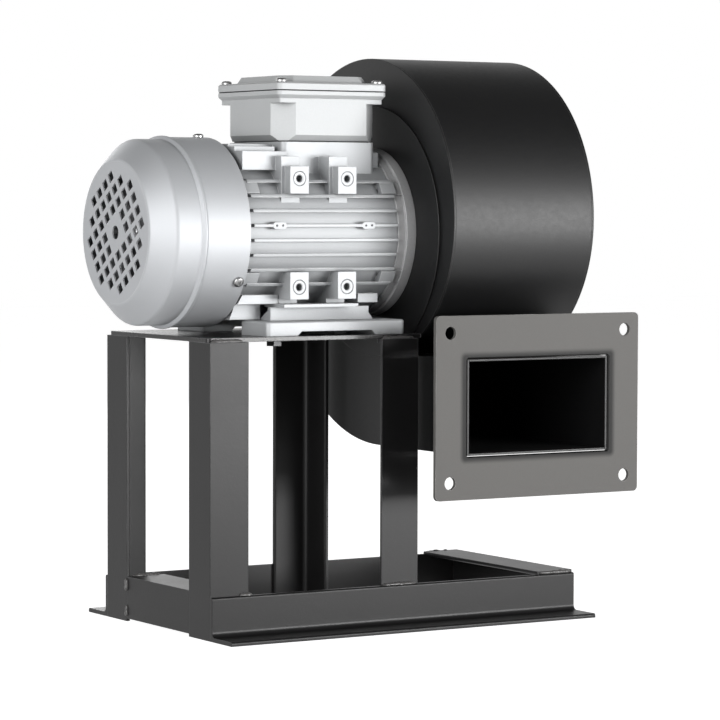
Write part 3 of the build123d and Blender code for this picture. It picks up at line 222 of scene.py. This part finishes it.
def joined_rings(form, one, two):
    """The faces between two rings of corners, of which either may be a single point."""
    steps = max(len(one), len(two))
    for i in range(steps):
        j = i + 1
        corners = (one[i % len(one)], one[j % len(one)], two[j % len(two)], two[i % len(two)])
        form.faces.new(list(dict.fromkeys(corners)))


def weld_beads(runs, width):
    """Each run is a line of overlapping drops, uneven in size, sunk half into the corner that it fills."""
    form = bmesh.new()
    chance = random.Random(7)
    drop_spacing = 0.4 * width
    end_size = 0.35
    wander = 0.12 * width
    steps_around = 10
    for start, end in runs:
        start, end = Vector(start), Vector(end)
        along = (end - start).normalized()
        side = along.orthogonal().normalized()
        across = along.cross(side)
        drops = max(4, round((end - start).length / drop_spacing))
        rings = []
        for drop in range(drops + 1):
            share = drop / drops
            taper = min(1.0, end_size + 5 * min(share, 1 - share))
            radius = width / 2 * taper * (0.75 + 0.5 * chance.random())
            middle = start.lerp(end, share) + side * wander * (chance.random() - 0.5)
            rings.append([form.verts.new(middle + side * a + across * b)
                          for a, b in circle_points(radius, steps_around)])
        for one, two in zip(rings, rings[1:]):
            joined_rings(form, one, two)
        form.faces.new(rings[0])
        form.faces.new(rings[-1])
    return finished_mesh("stand_welds", form, face_outwards=True)


def level_run(edge, start, end, y, z):
    """A run along X, with its start and end counted from an edge of the stand."""
    return (edge + start, y, z), (edge + end, y, z)


left_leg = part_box("leg_front_left")[0].x
right_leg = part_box("leg_front_right")[0].x
right_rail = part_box("base_rail_right")[0].x
outer_seam = left_leg + 0.00005
front_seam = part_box("base_rail_front")[1].y - 0.0003
rear_leg_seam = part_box("base_rail_left")[1].y
rear_rail_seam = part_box("base_rail_rear")[0].y - 0.0001
plate_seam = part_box("motor_plate")[0].y - 0.0011
front_rail_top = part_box("base_rail_front")[1].z + 0.0001
left_rail_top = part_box("base_rail_left")[1].z - 0.0002
right_rail_top = left_rail_top - 0.001
plate_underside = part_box("motor_plate")[0].z + 0.0004

weld_paint = metal_finish("weld_paint", (0.06, 0.058, 0.057), roughness=0.30, grain=0.00025,
                          grain_size=0.0012, edge_colour=bare_steel, edge_wear=0.8, variation=0.35,
                          patch_size=0.004)
weld = finished_piece("stand_welds", weld_beads([
    level_run(right_leg, 0.00095, 0.02825, front_seam, front_rail_top),
    level_run(left_leg, 0.02275, 0.03275, front_seam, front_rail_top),
    ((outer_seam, rear_leg_seam, 0.0215), (outer_seam, rear_leg_seam, 0.0310)),
    ((outer_seam, rear_leg_seam, 0.0035), (outer_seam, rear_leg_seam, 0.0120)),
    level_run(left_leg, 0.00475, 0.02675, rear_leg_seam, left_rail_top),
    level_run(right_rail, 0.00175, 0.02975, front_seam, right_rail_top),
    level_run(right_rail, 0.00075, 0.02275, rear_rail_seam, right_rail_top),
    level_run(left_leg, 0.00175, 0.02675, plate_seam, plate_underside),
    level_run(right_leg, 0.00175, 0.02775, plate_seam, plate_underside),
], width=0.0036), weld_paint, smooth_angle=60)
rounded_drops = weld.modifiers.new("rounded_drops", "SUBSURF")
rounded_drops.levels = rounded_drops.render_levels = 1


# Motor plate: 3 mm sheet laid on the tops of the legs, welded to them and sprayed with the stand. Blackened
# screws go up through it into the motor's feet.

plate_paint = metal_finish("plate_paint", charcoal, roughness=0.26, specular=0.3, grain=0.00003,
                           grain_size=0.0025, edge_colour=bare_steel)
dress(["motor_plate"], plate_paint)
black_oxide = metal_finish("black_oxide", (0.02, 0.02, 0.021), roughness=0.35, metallic=0.6, grain=0.00002,
                           grain_size=0.0008, edge_colour=(0.2, 0.2, 0.2), edge_width=0.0003, edge_wear=0.4,
                           variation=0.2)
dress(["motor_plate_screws"], black_oxide)


# Motor housing and feet: die-cast aluminium with a sand-blasted skin, painted bright silver. The thin fins
# catch the light on their tips. The feet are screwed on from below.

silver = (0.42, 0.43, 0.44)
# Painted shade darkens the casting's grooves and corners, the fin roots among them.
cast_silver = metal_finish("cast_silver", silver, roughness=0.60, metallic=0.5, specular=0.25,
                           grain=0.00010, grain_size=0.0011, edge_width=0.0007, edge_wear=0.6,
                           variation=0.06, recess_shade=0.3)
dress(["motor_housing", "motor_foot_front", "motor_foot_rear"], cast_silver, smooth_angle=28)


# Pad seats: the machined ring round each of the eight tapped holes in the housing's side pads, with a thin
# groove left outside it by the spot-facing tool.

def turned_mesh(name, line, steps, closed=False):
    """A mesh turned round the X axis from a line of (along, out) points; closed joins the line's ends."""
    form = bmesh.new()
    rings = [[form.verts.new((along, y, z)) for y, z in circle_points(out, steps if out > 0 else 1)]
             for along, out in line]
    for one, two in list(zip(rings, rings[1:])) + ([(rings[-1], rings[0])] if closed else []):
        joined_rings(form, one, two)
    return finished_mesh(name, form, face_outwards=True)


def seat_at(place, pointing, turn=0.0):
    """The matrix that takes a piece drawn along X to its seat, pointing away from it."""
    aim = Vector(pointing).to_track_quat("X", "Z").to_matrix().to_4x4()
    return Matrix.Translation(place) @ aim @ Matrix.Rotation(turn, 4, "X")


def joined_copies(name, mesh, seats):
    """One mesh made of copies of a drawn one, each in its seat."""
    group = bmesh.new()
    for seat in seats:
        copy = mesh.copy()
        copy.transform(seat)
        group.from_mesh(copy)
        bpy.data.meshes.remove(copy)
    return finished_mesh(name, group)


cowl_low, cowl_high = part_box("fan_cowl")
shaft_axis = Vector((0.0, (cowl_low.y + cowl_high.y) / 2, (cowl_low.z + cowl_high.z) / 2))
pads_middle = -0.04615
pad_spacing = 0.0386
pad_out = 0.0605
pad_level = 0.0376
thread_radius = 0.0023
seat_radius = 0.0049
seat_ring = turned_mesh("seat_ring", [
    (-0.0001, thread_radius + 0.0006), (-0.0001, seat_radius - 0.0002), (-0.0004, seat_radius),
    (-0.0008, seat_radius), (-0.0008, thread_radius), (-0.0006, thread_radius)], steps=40, closed=True)
pad_seats = finished_piece("pad_seats", joined_copies("pad_seats", seat_ring, [
    seat_at(shaft_axis + Vector((pads_middle + shift * pad_spacing, side * pad_out, level * pad_level)),
            (0, side, 0))
    for shift in (-0.5, 0.5) for side in (-1, 1) for level in (-1, 1)]), cast_silver)


# Boss pins: two short steel pins pressed into each of the four small oval bosses on the housing's sides,
# with their blackened ends just proud of the casting.

boss_spacing = 0.072
boss_out = 0.0625
boss_level = 0.00512
pin_spacing = 0.0048
pin_radius = 0.0008
pin_end = turned_mesh("pin_end", [(-0.0015, 0), (-0.0015, pin_radius), (0.0002, pin_radius),
                                  (0.0004, pin_radius - 0.0002), (0.0004, 0)], steps=20)
boss_pins = finished_piece("boss_pins", joined_copies("boss_pins", pin_end, [
    seat_at(shaft_axis + Vector((pads_middle + boss * boss_spacing + pin * pin_spacing, side * boss_out,
                                 boss_level)), (0, side, 0))
    for boss in (-0.5, 0.5) for pin in (-0.5, 0.5) for side in (-1, 1)]), black_oxide)


# End shields: gravity-cast aluminium, left darker and rougher than the housing and screwed to its ends. The
# front one carries the round flange that the blower is bolted to.

# Painted shade darkens the shields' grooves and corners.
shield_skin = metal_finish("shield_skin", (0.52, 0.52, 0.525), roughness=0.55, metallic=0.4, grain=0.00014,
                           grain_size=0.0013, edge_colour=silver, edge_width=0.0008, edge_wear=0.7,
                           variation=0.14, recess_shade=0.5)
dress(["front_end_shield", "rear_end_shield"], shield_skin)


# Bearings: rings and balls of hardened and ground steel with a pressed brass cage, one pushed into each end
# shield and carrying the shaft.

ground_steel = metal_finish("ground_steel", (0.56, 0.56, 0.57), roughness=0.16, metallic=1.0,
                            grain=0.00001, grain_size=0.0004, edge_width=0.0003, edge_wear=0.4,
                            variation=0.05)
dress([end + "_bearing_" + part for end in ("front", "rear")
       for part in ("inner_ring", "outer_ring", "balls")], ground_steel)
pressed_brass = metal_finish("pressed_brass", (0.55, 0.39, 0.16), roughness=0.32, metallic=1.0,
                             grain=0.00002, grain_size=0.0006, edge_colour=(0.8, 0.6, 0.3),
                             edge_width=0.0002, variation=0.1)
dress(["front_bearing_cage", "rear_bearing_cage"], pressed_brass)


# Shaft, key and circlip: turned and ground steel, with fine grooves round the axis. The key sits in the
# shaft's end under the impeller's hub, and the circlip holds the cooling fan.

turned_steel = metal_finish("turned_steel", (0.45, 0.45, 0.46), roughness=0.28, metallic=1.0, grain=0.00002,
                            grain_size=0.0012, edge_width=0.0003, variation=0.08, brush=(6.0, 0.4, 0.4))
dress(["rotor_shaft", "impeller_key", "fan_circlip"], turned_steel)


# Stator and rotor: stacks of thin electrical sheets, seen as fine lines across the axis, with varnished
# copper windings in the stator and a cast aluminium cage in the rotor.

stacked_sheets = metal_finish("stacked_sheets", (0.17, 0.17, 0.18), roughness=0.42, metallic=0.9,
                              grain=0.00008, grain_size=0.0009, edge_colour=(0.35, 0.35, 0.36),
                              edge_width=0.0003, variation=0.2, brush=(3.0, 0.2, 0.2))
dress(["stator_core", "rotor_core"], stacked_sheets)
varnished_copper = metal_finish("varnished_copper", (0.36, 0.11, 0.035), roughness=0.3, metallic=0.5,
                                grain=0.0003, grain_size=0.0012, edge_colour=(0.6, 0.28, 0.12),
                                edge_width=0.0004, variation=0.25, brush=(0.3, 1.0, 1.0))
dress(["stator_windings"], varnished_copper)
cage_casting = metal_finish("cage_casting", (0.52, 0.53, 0.54), roughness=0.45, metallic=0.9, grain=0.00012,
                            grain_size=0.0012, variation=0.1)
dress(["rotor_cage_rings"], cage_casting)


# Shaft seal and gaskets: black nitrile rubber, matt with a dusty bloom. The seal is pressed into the front
# shield, and the gaskets are pinched under the terminal box and its lid.

nitrile = metal_finish("nitrile", (0.018, 0.018, 0.019), roughness=0.7, specular=0.3, grain=0.00008,
                       grain_size=0.0008, edge_colour=(0.06, 0.06, 0.06), edge_width=0.0003, edge_wear=0.3,
                       variation=0.2)
dress(["shaft_seal", "lid_gasket", "box_seat_gasket"], nitrile)


# Cooling fan: a hub, disc and straight blades moulded in one piece of grey polypropylene, pushed on the
# shaft behind the rear shield.

moulded_grey = metal_finish("moulded_grey", (0.13, 0.13, 0.135), roughness=0.45, specular=0.4,
                            grain=0.00005, grain_size=0.0006, edge_colour=(0.5, 0.5, 0.5),
                            edge_width=0.0004, variation=0.1)
dress(["cooling_fan"], moulded_grey)


# Fan cowl: deep-drawn sheet steel with a pressed bead at its step, sprayed satin silver. Its face has
# square holes punched in a turned lattice of eight rows, without the corners and the four in the middle,
# where a round hole shows the end of the shaft.

cowl_paint = metal_finish("cowl_paint", (0.42, 0.43, 0.445), roughness=0.58, metallic=0.5, specular=0.25,
                          grain=0.00003, grain_size=0.0009, edge_colour=(0.75, 0.75, 0.76),
                          edge_width=0.0005, variation=0.04, patch_size=0.08)
cowl_wall = 0.0009
cowl_steps = 160
cowl_depth = cowl_high.x - cowl_low.x
face_radius = 0.0504
cone_depth = 0.0143
drum_radius = 0.0647
bead_start = 0.0328
bead_radius = 0.0672
skirt_radius = 0.0663
shaft_hole_radius = 0.0047
hole_rows = 8
hole_pitch = 0.01025
hole_side = 0.0065
hole_turn = math.radians(-33.4)


def rounded_line(corners, steps=6):
    """The points of a line drawn through corners of (along, out, radius), each rounded to its radius."""
    points = []
    for index, (along, out, radius) in enumerate(corners):
        here = Vector((along, out))
        if radius == 0:
            points.append(here)
            continue
        before = (Vector(corners[index - 1][:2]) - here).normalized()
        after = (Vector(corners[index + 1][:2]) - here).normalized()
        half = before.angle(after) / 2
        centre = here + (before + after).normalized() * (radius / math.sin(half))
        first = here + before * (radius / math.tan(half)) - centre
        last = here + after * (radius / math.tan(half)) - centre
        start = math.atan2(first.y, first.x)
        sweep = (math.atan2(last.y, last.x) - start + math.pi) % (2 * math.pi) - math.pi
        for step in range(steps + 1):
            angle = start + sweep * step / steps
            points.append(centre + radius * Vector((math.cos(angle), math.sin(angle))))
    return points


def punched_plate(name, outlines, wall):
    """A flat plate with the first outline as its edge and the others as holes, drawn in Y and Z."""
    curve = bpy.data.curves.new(name, "CURVE")
    curve.dimensions = "2D"
    curve.fill_mode = "BOTH"
    curve.extrude = wall / 2
    for outline in outlines:
        spline = curve.splines.new("POLY")
        spline.points.add(len(outline) - 1)
        for point, (across, up) in zip(spline.points, outline):
            point.co = (across, up, 0, 1)
        spline.use_cyclic_u = True
    drawn = bpy.data.objects.new(name, curve)
    mesh = bpy.data.meshes.new_from_object(drawn)
    bpy.data.objects.remove(drawn)
    bpy.data.curves.remove(curve)
    upright = Matrix(((0, 0, 1, wall / 2), (1, 0, 0, 0), (0, 1, 0, 0), (0, 0, 0, 1)))
    mesh.transform(upright)
    return mesh


def grille_outlines():
    """The square holes of the cowl's face, each as four corners in Y and Z."""
    half = hole_side / 2
    corners = ((-half, -half), (half, -half), (half, half), (-half, half))
    middle_reach = 0.8 * hole_pitch
    edge_reach = 4.1 * hole_pitch
    places = [(step - (hole_rows - 1) / 2) * hole_pitch for step in range(hole_rows)]
    cos, sin = math.cos(hole_turn), math.sin(hole_turn)
    outlines = []
    for b in places:
        for a in places:
            if middle_reach < math.hypot(a, b) < edge_reach:
                outlines.append([((a + i) * cos - (b + j) * sin, (a + i) * sin + (b + j) * cos)
                                 for i, j in corners])
    return outlines


def inside_line(line, wall):
    """The line of a sheet's inner face, one wall in from its outer one."""
    points = []
    for index, point in enumerate(line):
        run = line[min(index + 1, len(line) - 1)] - line[max(index - 1, 0)]
        points.append(point + wall * Vector((run.y, -run.x)).normalized())
    return points


face_middle, *outer_line = rounded_line([
    (0, 0, 0), (0, face_radius, 0.0030), (cone_depth, drum_radius, 0.0045),
    (bead_start, drum_radius, 0.0005), (bead_start + 0.0016, bead_radius, 0.0011),
    (bead_start + 0.0030, bead_radius, 0.0011), (bead_start + 0.0042, skirt_radius, 0.0005),
    (cowl_depth, skirt_radius, 0)])
inner_line = inside_line(outer_line, cowl_wall)
inner_line[0] = face_middle + Vector((cowl_wall, outer_line[0].y))
cowl_form = bmesh.new()
cowl_form.from_mesh(turned_mesh("cowl_shell", outer_line + inner_line[::-1], cowl_steps))
cowl_form.from_mesh(punched_plate("cowl_face", [circle_points(outer_line[0].y, cowl_steps),
                                                circle_points(shaft_hole_radius, 48)] + grille_outlines(),
                                  cowl_wall))
cowl_mesh = finished_mesh("cowl", cowl_form, face_outwards=True)
cowl_mesh.transform(Matrix.Translation(shaft_axis + Vector((cowl_low.x, 0, 0))))
cowl = finished_piece("cowl", cowl_mesh, cowl_paint)
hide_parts("fan_cowl")


# Terminal box and lid: die-cast aluminium, painted like the housing. Inside is a moulded board with brass
# studs, and a moulded gland and a plug are screwed into the box's hidden side.

# Painted shade darkens the box's grooves and corners and its faces that look up.
box_silver = metal_finish("box_silver", (0.46, 0.47, 0.475), roughness=0.58, metallic=0.2, specular=0.06,
                          grain=0.00006, grain_size=0.0010, edge_width=0.0008, edge_wear=0.6,
                          variation=0.05, recess_shade=0.4, top_shade=0.28)
dress(["terminal_box", "terminal_box_lid"], box_silver, smooth_angle=28)
moulded_black = metal_finish("moulded_black", (0.016, 0.016, 0.017), roughness=0.45, specular=0.4,
                             grain=0.00005, grain_size=0.0006, edge_colour=(0.05, 0.05, 0.05),
                             edge_width=0.0004, variation=0.15)
dress(["terminal_board", "cable_gland", "blanking_plug"], moulded_black)
turned_brass = metal_finish("turned_brass", (0.60, 0.44, 0.18), roughness=0.25, metallic=1.0,
                            grain=0.00002, grain_size=0.0008, edge_colour=(0.85, 0.7, 0.4),
                            edge_width=0.0002, variation=0.1)
dress(["terminal_studs"], turned_brass)


# Scroll: 1.5 mm sheet steel, rolled to the spiral and spot-welded between two side plates, sprayed in
# semi-gloss black with a faint orange peel.

scroll_black = metal_finish("scroll_black", (0.0024, 0.0024, 0.0026), roughness=0.45, specular=0.35,
                            grain=0.00002, grain_size=0.0035, edge_colour=(0.05, 0.05, 0.05),
                            edge_width=0.0009, edge_wear=0.6, variation=0.06, patch_size=0.09)
dress(["scroll_wrapper", "scroll_back_plate", "scroll_front_plate", "motor_mount_disc", "inlet_ring"],
      scroll_black)


# Outlet flange: cut from 3 mm sheet and welded round the duct's mouth, in a greyer satin coat with shade
# painted dark round the opening.

flange_paint = metal_finish("flange_paint", (0.092, 0.089, 0.085), roughness=0.50, specular=0.15,
                            grain=0.00005, grain_size=0.0010, edge_colour=(0.42, 0.41, 0.40), edge_wear=0.8,
                            variation=0.06, patch_size=0.06)
flange_low, flange_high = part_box("outlet_flange")
opening_half_width = 0.0615
opening_half_height = 0.0343
opening_shade_start = 0.001
opening_shade_reach = 0.0055
opening_shade_level = 0.06


def past_opening(along, low, high, half):
    """How far a place lies outside the opening along one axis."""
    from_middle = calculated(flange_paint, "SUBTRACT", along, (low + high) / 2)
    away = calculated(flange_paint, "SUBTRACT", calculated(flange_paint, "ABSOLUTE", from_middle), half)
    return calculated(flange_paint, "MAXIMUM", away, 0.0)


flange_shader = flange_paint.node_tree.nodes["Principled BSDF"]
unshaded_coat = flange_shader.inputs["Base Color"].links[0].from_socket
flange_place = put(flange_paint, "ShaderNodeSeparateXYZ",
                   {0: put(flange_paint, "ShaderNodeTexCoord").outputs["Object"]}).outputs
past_side = past_opening(flange_place["X"], flange_low.x, flange_high.x, opening_half_width)
past_top = past_opening(flange_place["Z"], flange_low.z, flange_high.z, opening_half_height)
past_edge = put(flange_paint, "ShaderNodeCombineXYZ", {"X": past_side, "Z": past_top}).outputs["Vector"]
distance = put(flange_paint, "ShaderNodeVectorMath", {0: past_edge}, operation="LENGTH").outputs["Value"]
# Painted shade: the coat is darkest at the opening's edge and fades out over about 5 mm.
opening_shade = ranged(flange_paint, distance, opening_shade_start, opening_shade_reach, to_low=opening_shade_level,
               interpolation_type="SMOOTHSTEP")
shaded_coat = scaled(flange_paint, unshaded_coat, opening_shade)
flange_paint.node_tree.links.new(shaded_coat, flange_shader.inputs["Base Color"])
dress(["outlet_flange"], flange_paint)


# Impeller: zinc-coated sheet, with the blades' tabs pressed through the back plate and the front ring. The
# back plate is riveted to a steel hub, which a bolt and washer hold on the shaft.

zinc_sheet = metal_finish("zinc_sheet", (0.50, 0.51, 0.53), roughness=0.34, metallic=1.0, grain=0.00002,
                          grain_size=0.0016, edge_width=0.0003, variation=0.16, patch_size=0.012)
dress(["impeller_back_plate", "impeller_front_ring", "impeller_blades", "impeller_hub", "impeller_washer"],
      zinc_sheet)


# Screws: zinc-plated steel. Pan heads with a punched cross hold the cowl, the lid and the inlet ring; the
# others are hexagon and socket heads.

zinc_plate = metal_finish("zinc_plate", (0.33, 0.33, 0.33), roughness=0.38, metallic=1.0, grain=0.00002,
                          grain_size=0.0007, edge_width=0.0003, variation=0.15, patch_size=0.004)
dress(["motor_flange_screws", "motor_foot_screws", "end_shield_screws", "impeller_bolt", "impeller_rivets"],
      zinc_plate)


def punched_cross(height):
    """Two crossed blades, as the tool that punches a screw's head, narrower at their deep end."""
    long = 0.0046
    wide = 0.00095
    deep = 0.0030
    narrowing = 0.45
    form = bmesh.new()
    for width, breadth in ((long, wide), (wide, long)):
        blade = bmesh.ops.create_cube(form, size=1.0)["verts"]
        bmesh.ops.scale(form, verts=blade, vec=(deep, width, breadth))
        for corner in blade:
            narrow = 1.0 if corner.co.x > 0 else narrowing
            corner.co = (corner.co.x + height, corner.co.y * narrow, corner.co.z * narrow)
    return finished_mesh("cross", form)


def pan_head(name, length):
    """An M4 pan-head screw along X, seated at X = 0, with its domed head towards +X and a cross in it."""
    shank_radius = 0.0019
    head_radius = 0.0038
    height = 0.0026
    edge = 0.0011
    dome_steps = 6
    line = [(-length, 0), (-length, shank_radius), (0, shank_radius), (0, head_radius), (edge, head_radius)]
    for step in range(1, dome_steps):
        angle = math.pi / 2 * step / dome_steps
        line.append((edge + (height - edge) * math.sin(angle), head_radius * math.cos(angle) ** 0.6))
    line.append((height, 0))
    head = bpy.data.objects.new(name, turned_mesh(name, line, 32))
    cutter = bpy.data.objects.new("cross", punched_cross(height))
    for piece in (head, cutter):
        bpy.context.scene.collection.objects.link(piece)
    punch = head.modifiers.new("punch", "BOOLEAN")
    punch.object = cutter
    punch.solver = "EXACT"
    punch.use_self = True
    cut = bpy.data.meshes.new_from_object(head.evaluated_get(bpy.context.evaluated_depsgraph_get()))
    bpy.data.objects.remove(head)
    bpy.data.objects.remove(cutter)
    return cut


def driven_screws(node, places, length):
    """Pan-head screws in place of a node, each at its (seat, direction) and turned as far as it happened
    to be driven."""
    chance = random.Random(node)
    seats = [seat_at(seat, pointing, chance.uniform(0, math.pi / 2)) for seat, pointing in places]
    mesh = joined_copies(node, pan_head(node, length), seats)
    screws = finished_piece(node + "_driven", mesh, zinc_plate, smooth_angle=40)
    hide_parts(node)


def ring_directions(first, count):
    """Directions out from the shaft, evenly spaced from a first angle."""
    angles = [math.radians(first + 360 * i / count) for i in range(count)]
    return [Vector((0, math.cos(angle), math.sin(angle))) for angle in angles]


cowl_screws_middle = shaft_axis + Vector((-0.11245, 0, 0))
driven_screws("cowl_screws", [(cowl_screws_middle + skirt_radius * out, out)
                              for out in ring_directions(90, 3)], length=0.0038)

lid_low, lid_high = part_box("terminal_box_lid")
lid_seats_middle = Vector(((lid_low.x + lid_high.x) / 2, (lid_low.y + lid_high.y) / 2, 0.382))
lid_screws_reach = 0.0391
driven_screws("lid_screws", [(lid_seats_middle + lid_screws_reach * Vector((i, j, 0)), (0, 0, 1))
                             for i in (-1, 1) for j in (-1, 1)], length=0.012)

inlet_face_middle = shaft_axis + Vector((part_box("inlet_ring")[1].x, 0, 0))
inlet_screws_circle = 0.08724
driven_screws("inlet_ring_screws", [(inlet_face_middle + inlet_screws_circle * out, (1, 0, 0))
                                    for out in ring_directions(22.5, 8)], length=0.008)


# Floor: a plain pale sheet that runs far behind the blower. It looks white where the camera and reflections
# see it, and keeps the blower's shadow.

def seen_directly(material):
    """1 for what the camera, a reflection or a clear material sees, and 0 for light that bounces."""
    rays = put(material, "ShaderNodeLightPath").outputs
    seen = calculated(material, "MAXIMUM", rays["Is Camera Ray"], rays["Is Glossy Ray"])
    return calculated(material, "MAXIMUM", seen, rays["Is Transmission Ray"])


floor_reach = 6.0
floor_glow = 0.93
floor_corners = [(floor_reach * i, floor_reach * j, 0) for i, j in ((-1, -1), (1, -1), (1, 1), (-1, 1))]
floor_mesh = bpy.data.meshes.new("floor")
floor_mesh.from_pydata(floor_corners, [], [(0, 1, 2, 3)])
floor = bpy.data.objects.new("floor", floor_mesh)
bpy.context.scene.collection.objects.link(floor)
floor_white = bpy.data.materials.new("floor_white")
floor_white.use_nodes = True
floor_shader = floor_white.node_tree.nodes["Principled BSDF"]
floor_shader.inputs["Base Color"].default_value = (0.42, 0.42, 0.42, 1)
floor_shader.inputs["Roughness"].default_value = 0.9
floor_shader.inputs["Specular IOR Level"].default_value = 0.1
floor_shader.inputs["Emission Color"].default_value = (1, 1, 1, 1)
floor_white.node_tree.links.new(calculated(floor_white, "MULTIPLY", seen_directly(floor_white), floor_glow),
                                floor_shader.inputs["Emission Strength"])
floor_mesh.materials.append(floor_white)


# Studio: a white backdrop all round up to a low height and a dark ceiling, a weak even fill, a soft key
# lamp at the camera's right with a low strip under it, one at its left and a weak one behind.

world = bpy.data.worlds.new("studio")
bpy.context.scene.world = world
world.use_nodes = True
surround = world.node_tree.nodes["Background"]
surround.inputs["Color"].default_value = (1, 1, 1, 1)
backdrop_top = 0.25
ceiling_start = 0.80
ceiling_level = 0.12
fill_level = 0.11
looking = put(world, "ShaderNodeSeparateXYZ", {0: put(world, "ShaderNodeTexCoord").outputs["Generated"]})
backdrop = ranged(world, looking.outputs["Z"], backdrop_top, ceiling_start, to_low=1.0,
                  to_high=ceiling_level, interpolation_type="SMOOTHSTEP")
surround_level = ranged(world, seen_directly(world), 0.0, 1.0, fill_level, backdrop)
world.node_tree.links.new(surround_level, surround.inputs["Strength"])

blower_middle = Vector((0.0, 0.0, 0.2))


def soft_lamp(name, place, width, height, power):
    """A rectangular lamp turned to the middle of the blower."""
    lamp = bpy.data.lights.new(name, "AREA")
    lamp.shape = "RECTANGLE"
    lamp.size = width
    lamp.size_y = height
    lamp.energy = power
    aim = blower_middle - Vector(place)
    lamp_object = bpy.data.objects.new(name, lamp)
    lamp_object.location = place
    lamp_object.rotation_euler = aim.to_track_quat("-Z", "Y").to_euler()
    bpy.context.scene.collection.objects.link(lamp_object)


soft_lamp("lamp_key", (1.0, -1.83, 0.38), width=1.1, height=0.45, power=35)
soft_lamp("lamp_low", (1.1, -1.78, 0.13), width=0.8, height=0.18, power=13)
soft_lamp("lamp_fill", (-1.85, -1.0, 0.60), width=1.3, height=1.3, power=42)
soft_lamp("lamp_back", (0.3, 2.15, 0.75), width=1.2, height=1.2, power=15)


# Camera: at the photograph's place, direction and lens, worked out from the blower's own straight edges,
# with the slight lean of a camera held by hand.

camera_place = (-1.18505, -1.9720, 0.3006)
turn_right = math.radians(31.54)
look_down = math.radians(2.89)
lean = math.radians(0.16)
forward = Vector((math.sin(turn_right) * math.cos(look_down), math.cos(turn_right) * math.cos(look_down),
                  -math.sin(look_down)))
right = Vector((math.cos(turn_right), -math.sin(turn_right), 0.0))
up = right.cross(forward)
leaned_right = right * math.cos(lean) + up * math.sin(lean)
leaned_up = up * math.cos(lean) - right * math.sin(lean)
camera_data = bpy.data.cameras.new("camera")
camera_data.lens = 159.5
camera_data.sensor_width = 36.0
camera = bpy.data.objects.new("camera", camera_data)
facing = Matrix((leaned_right, leaned_up, -forward)).transposed()
camera.matrix_world = Matrix.Translation(camera_place) @ facing.to_4x4()
bpy.context.scene.collection.objects.link(camera)
bpy.context.scene.camera = camera
bpy.context.scene.view_settings.view_transform = "Standard"
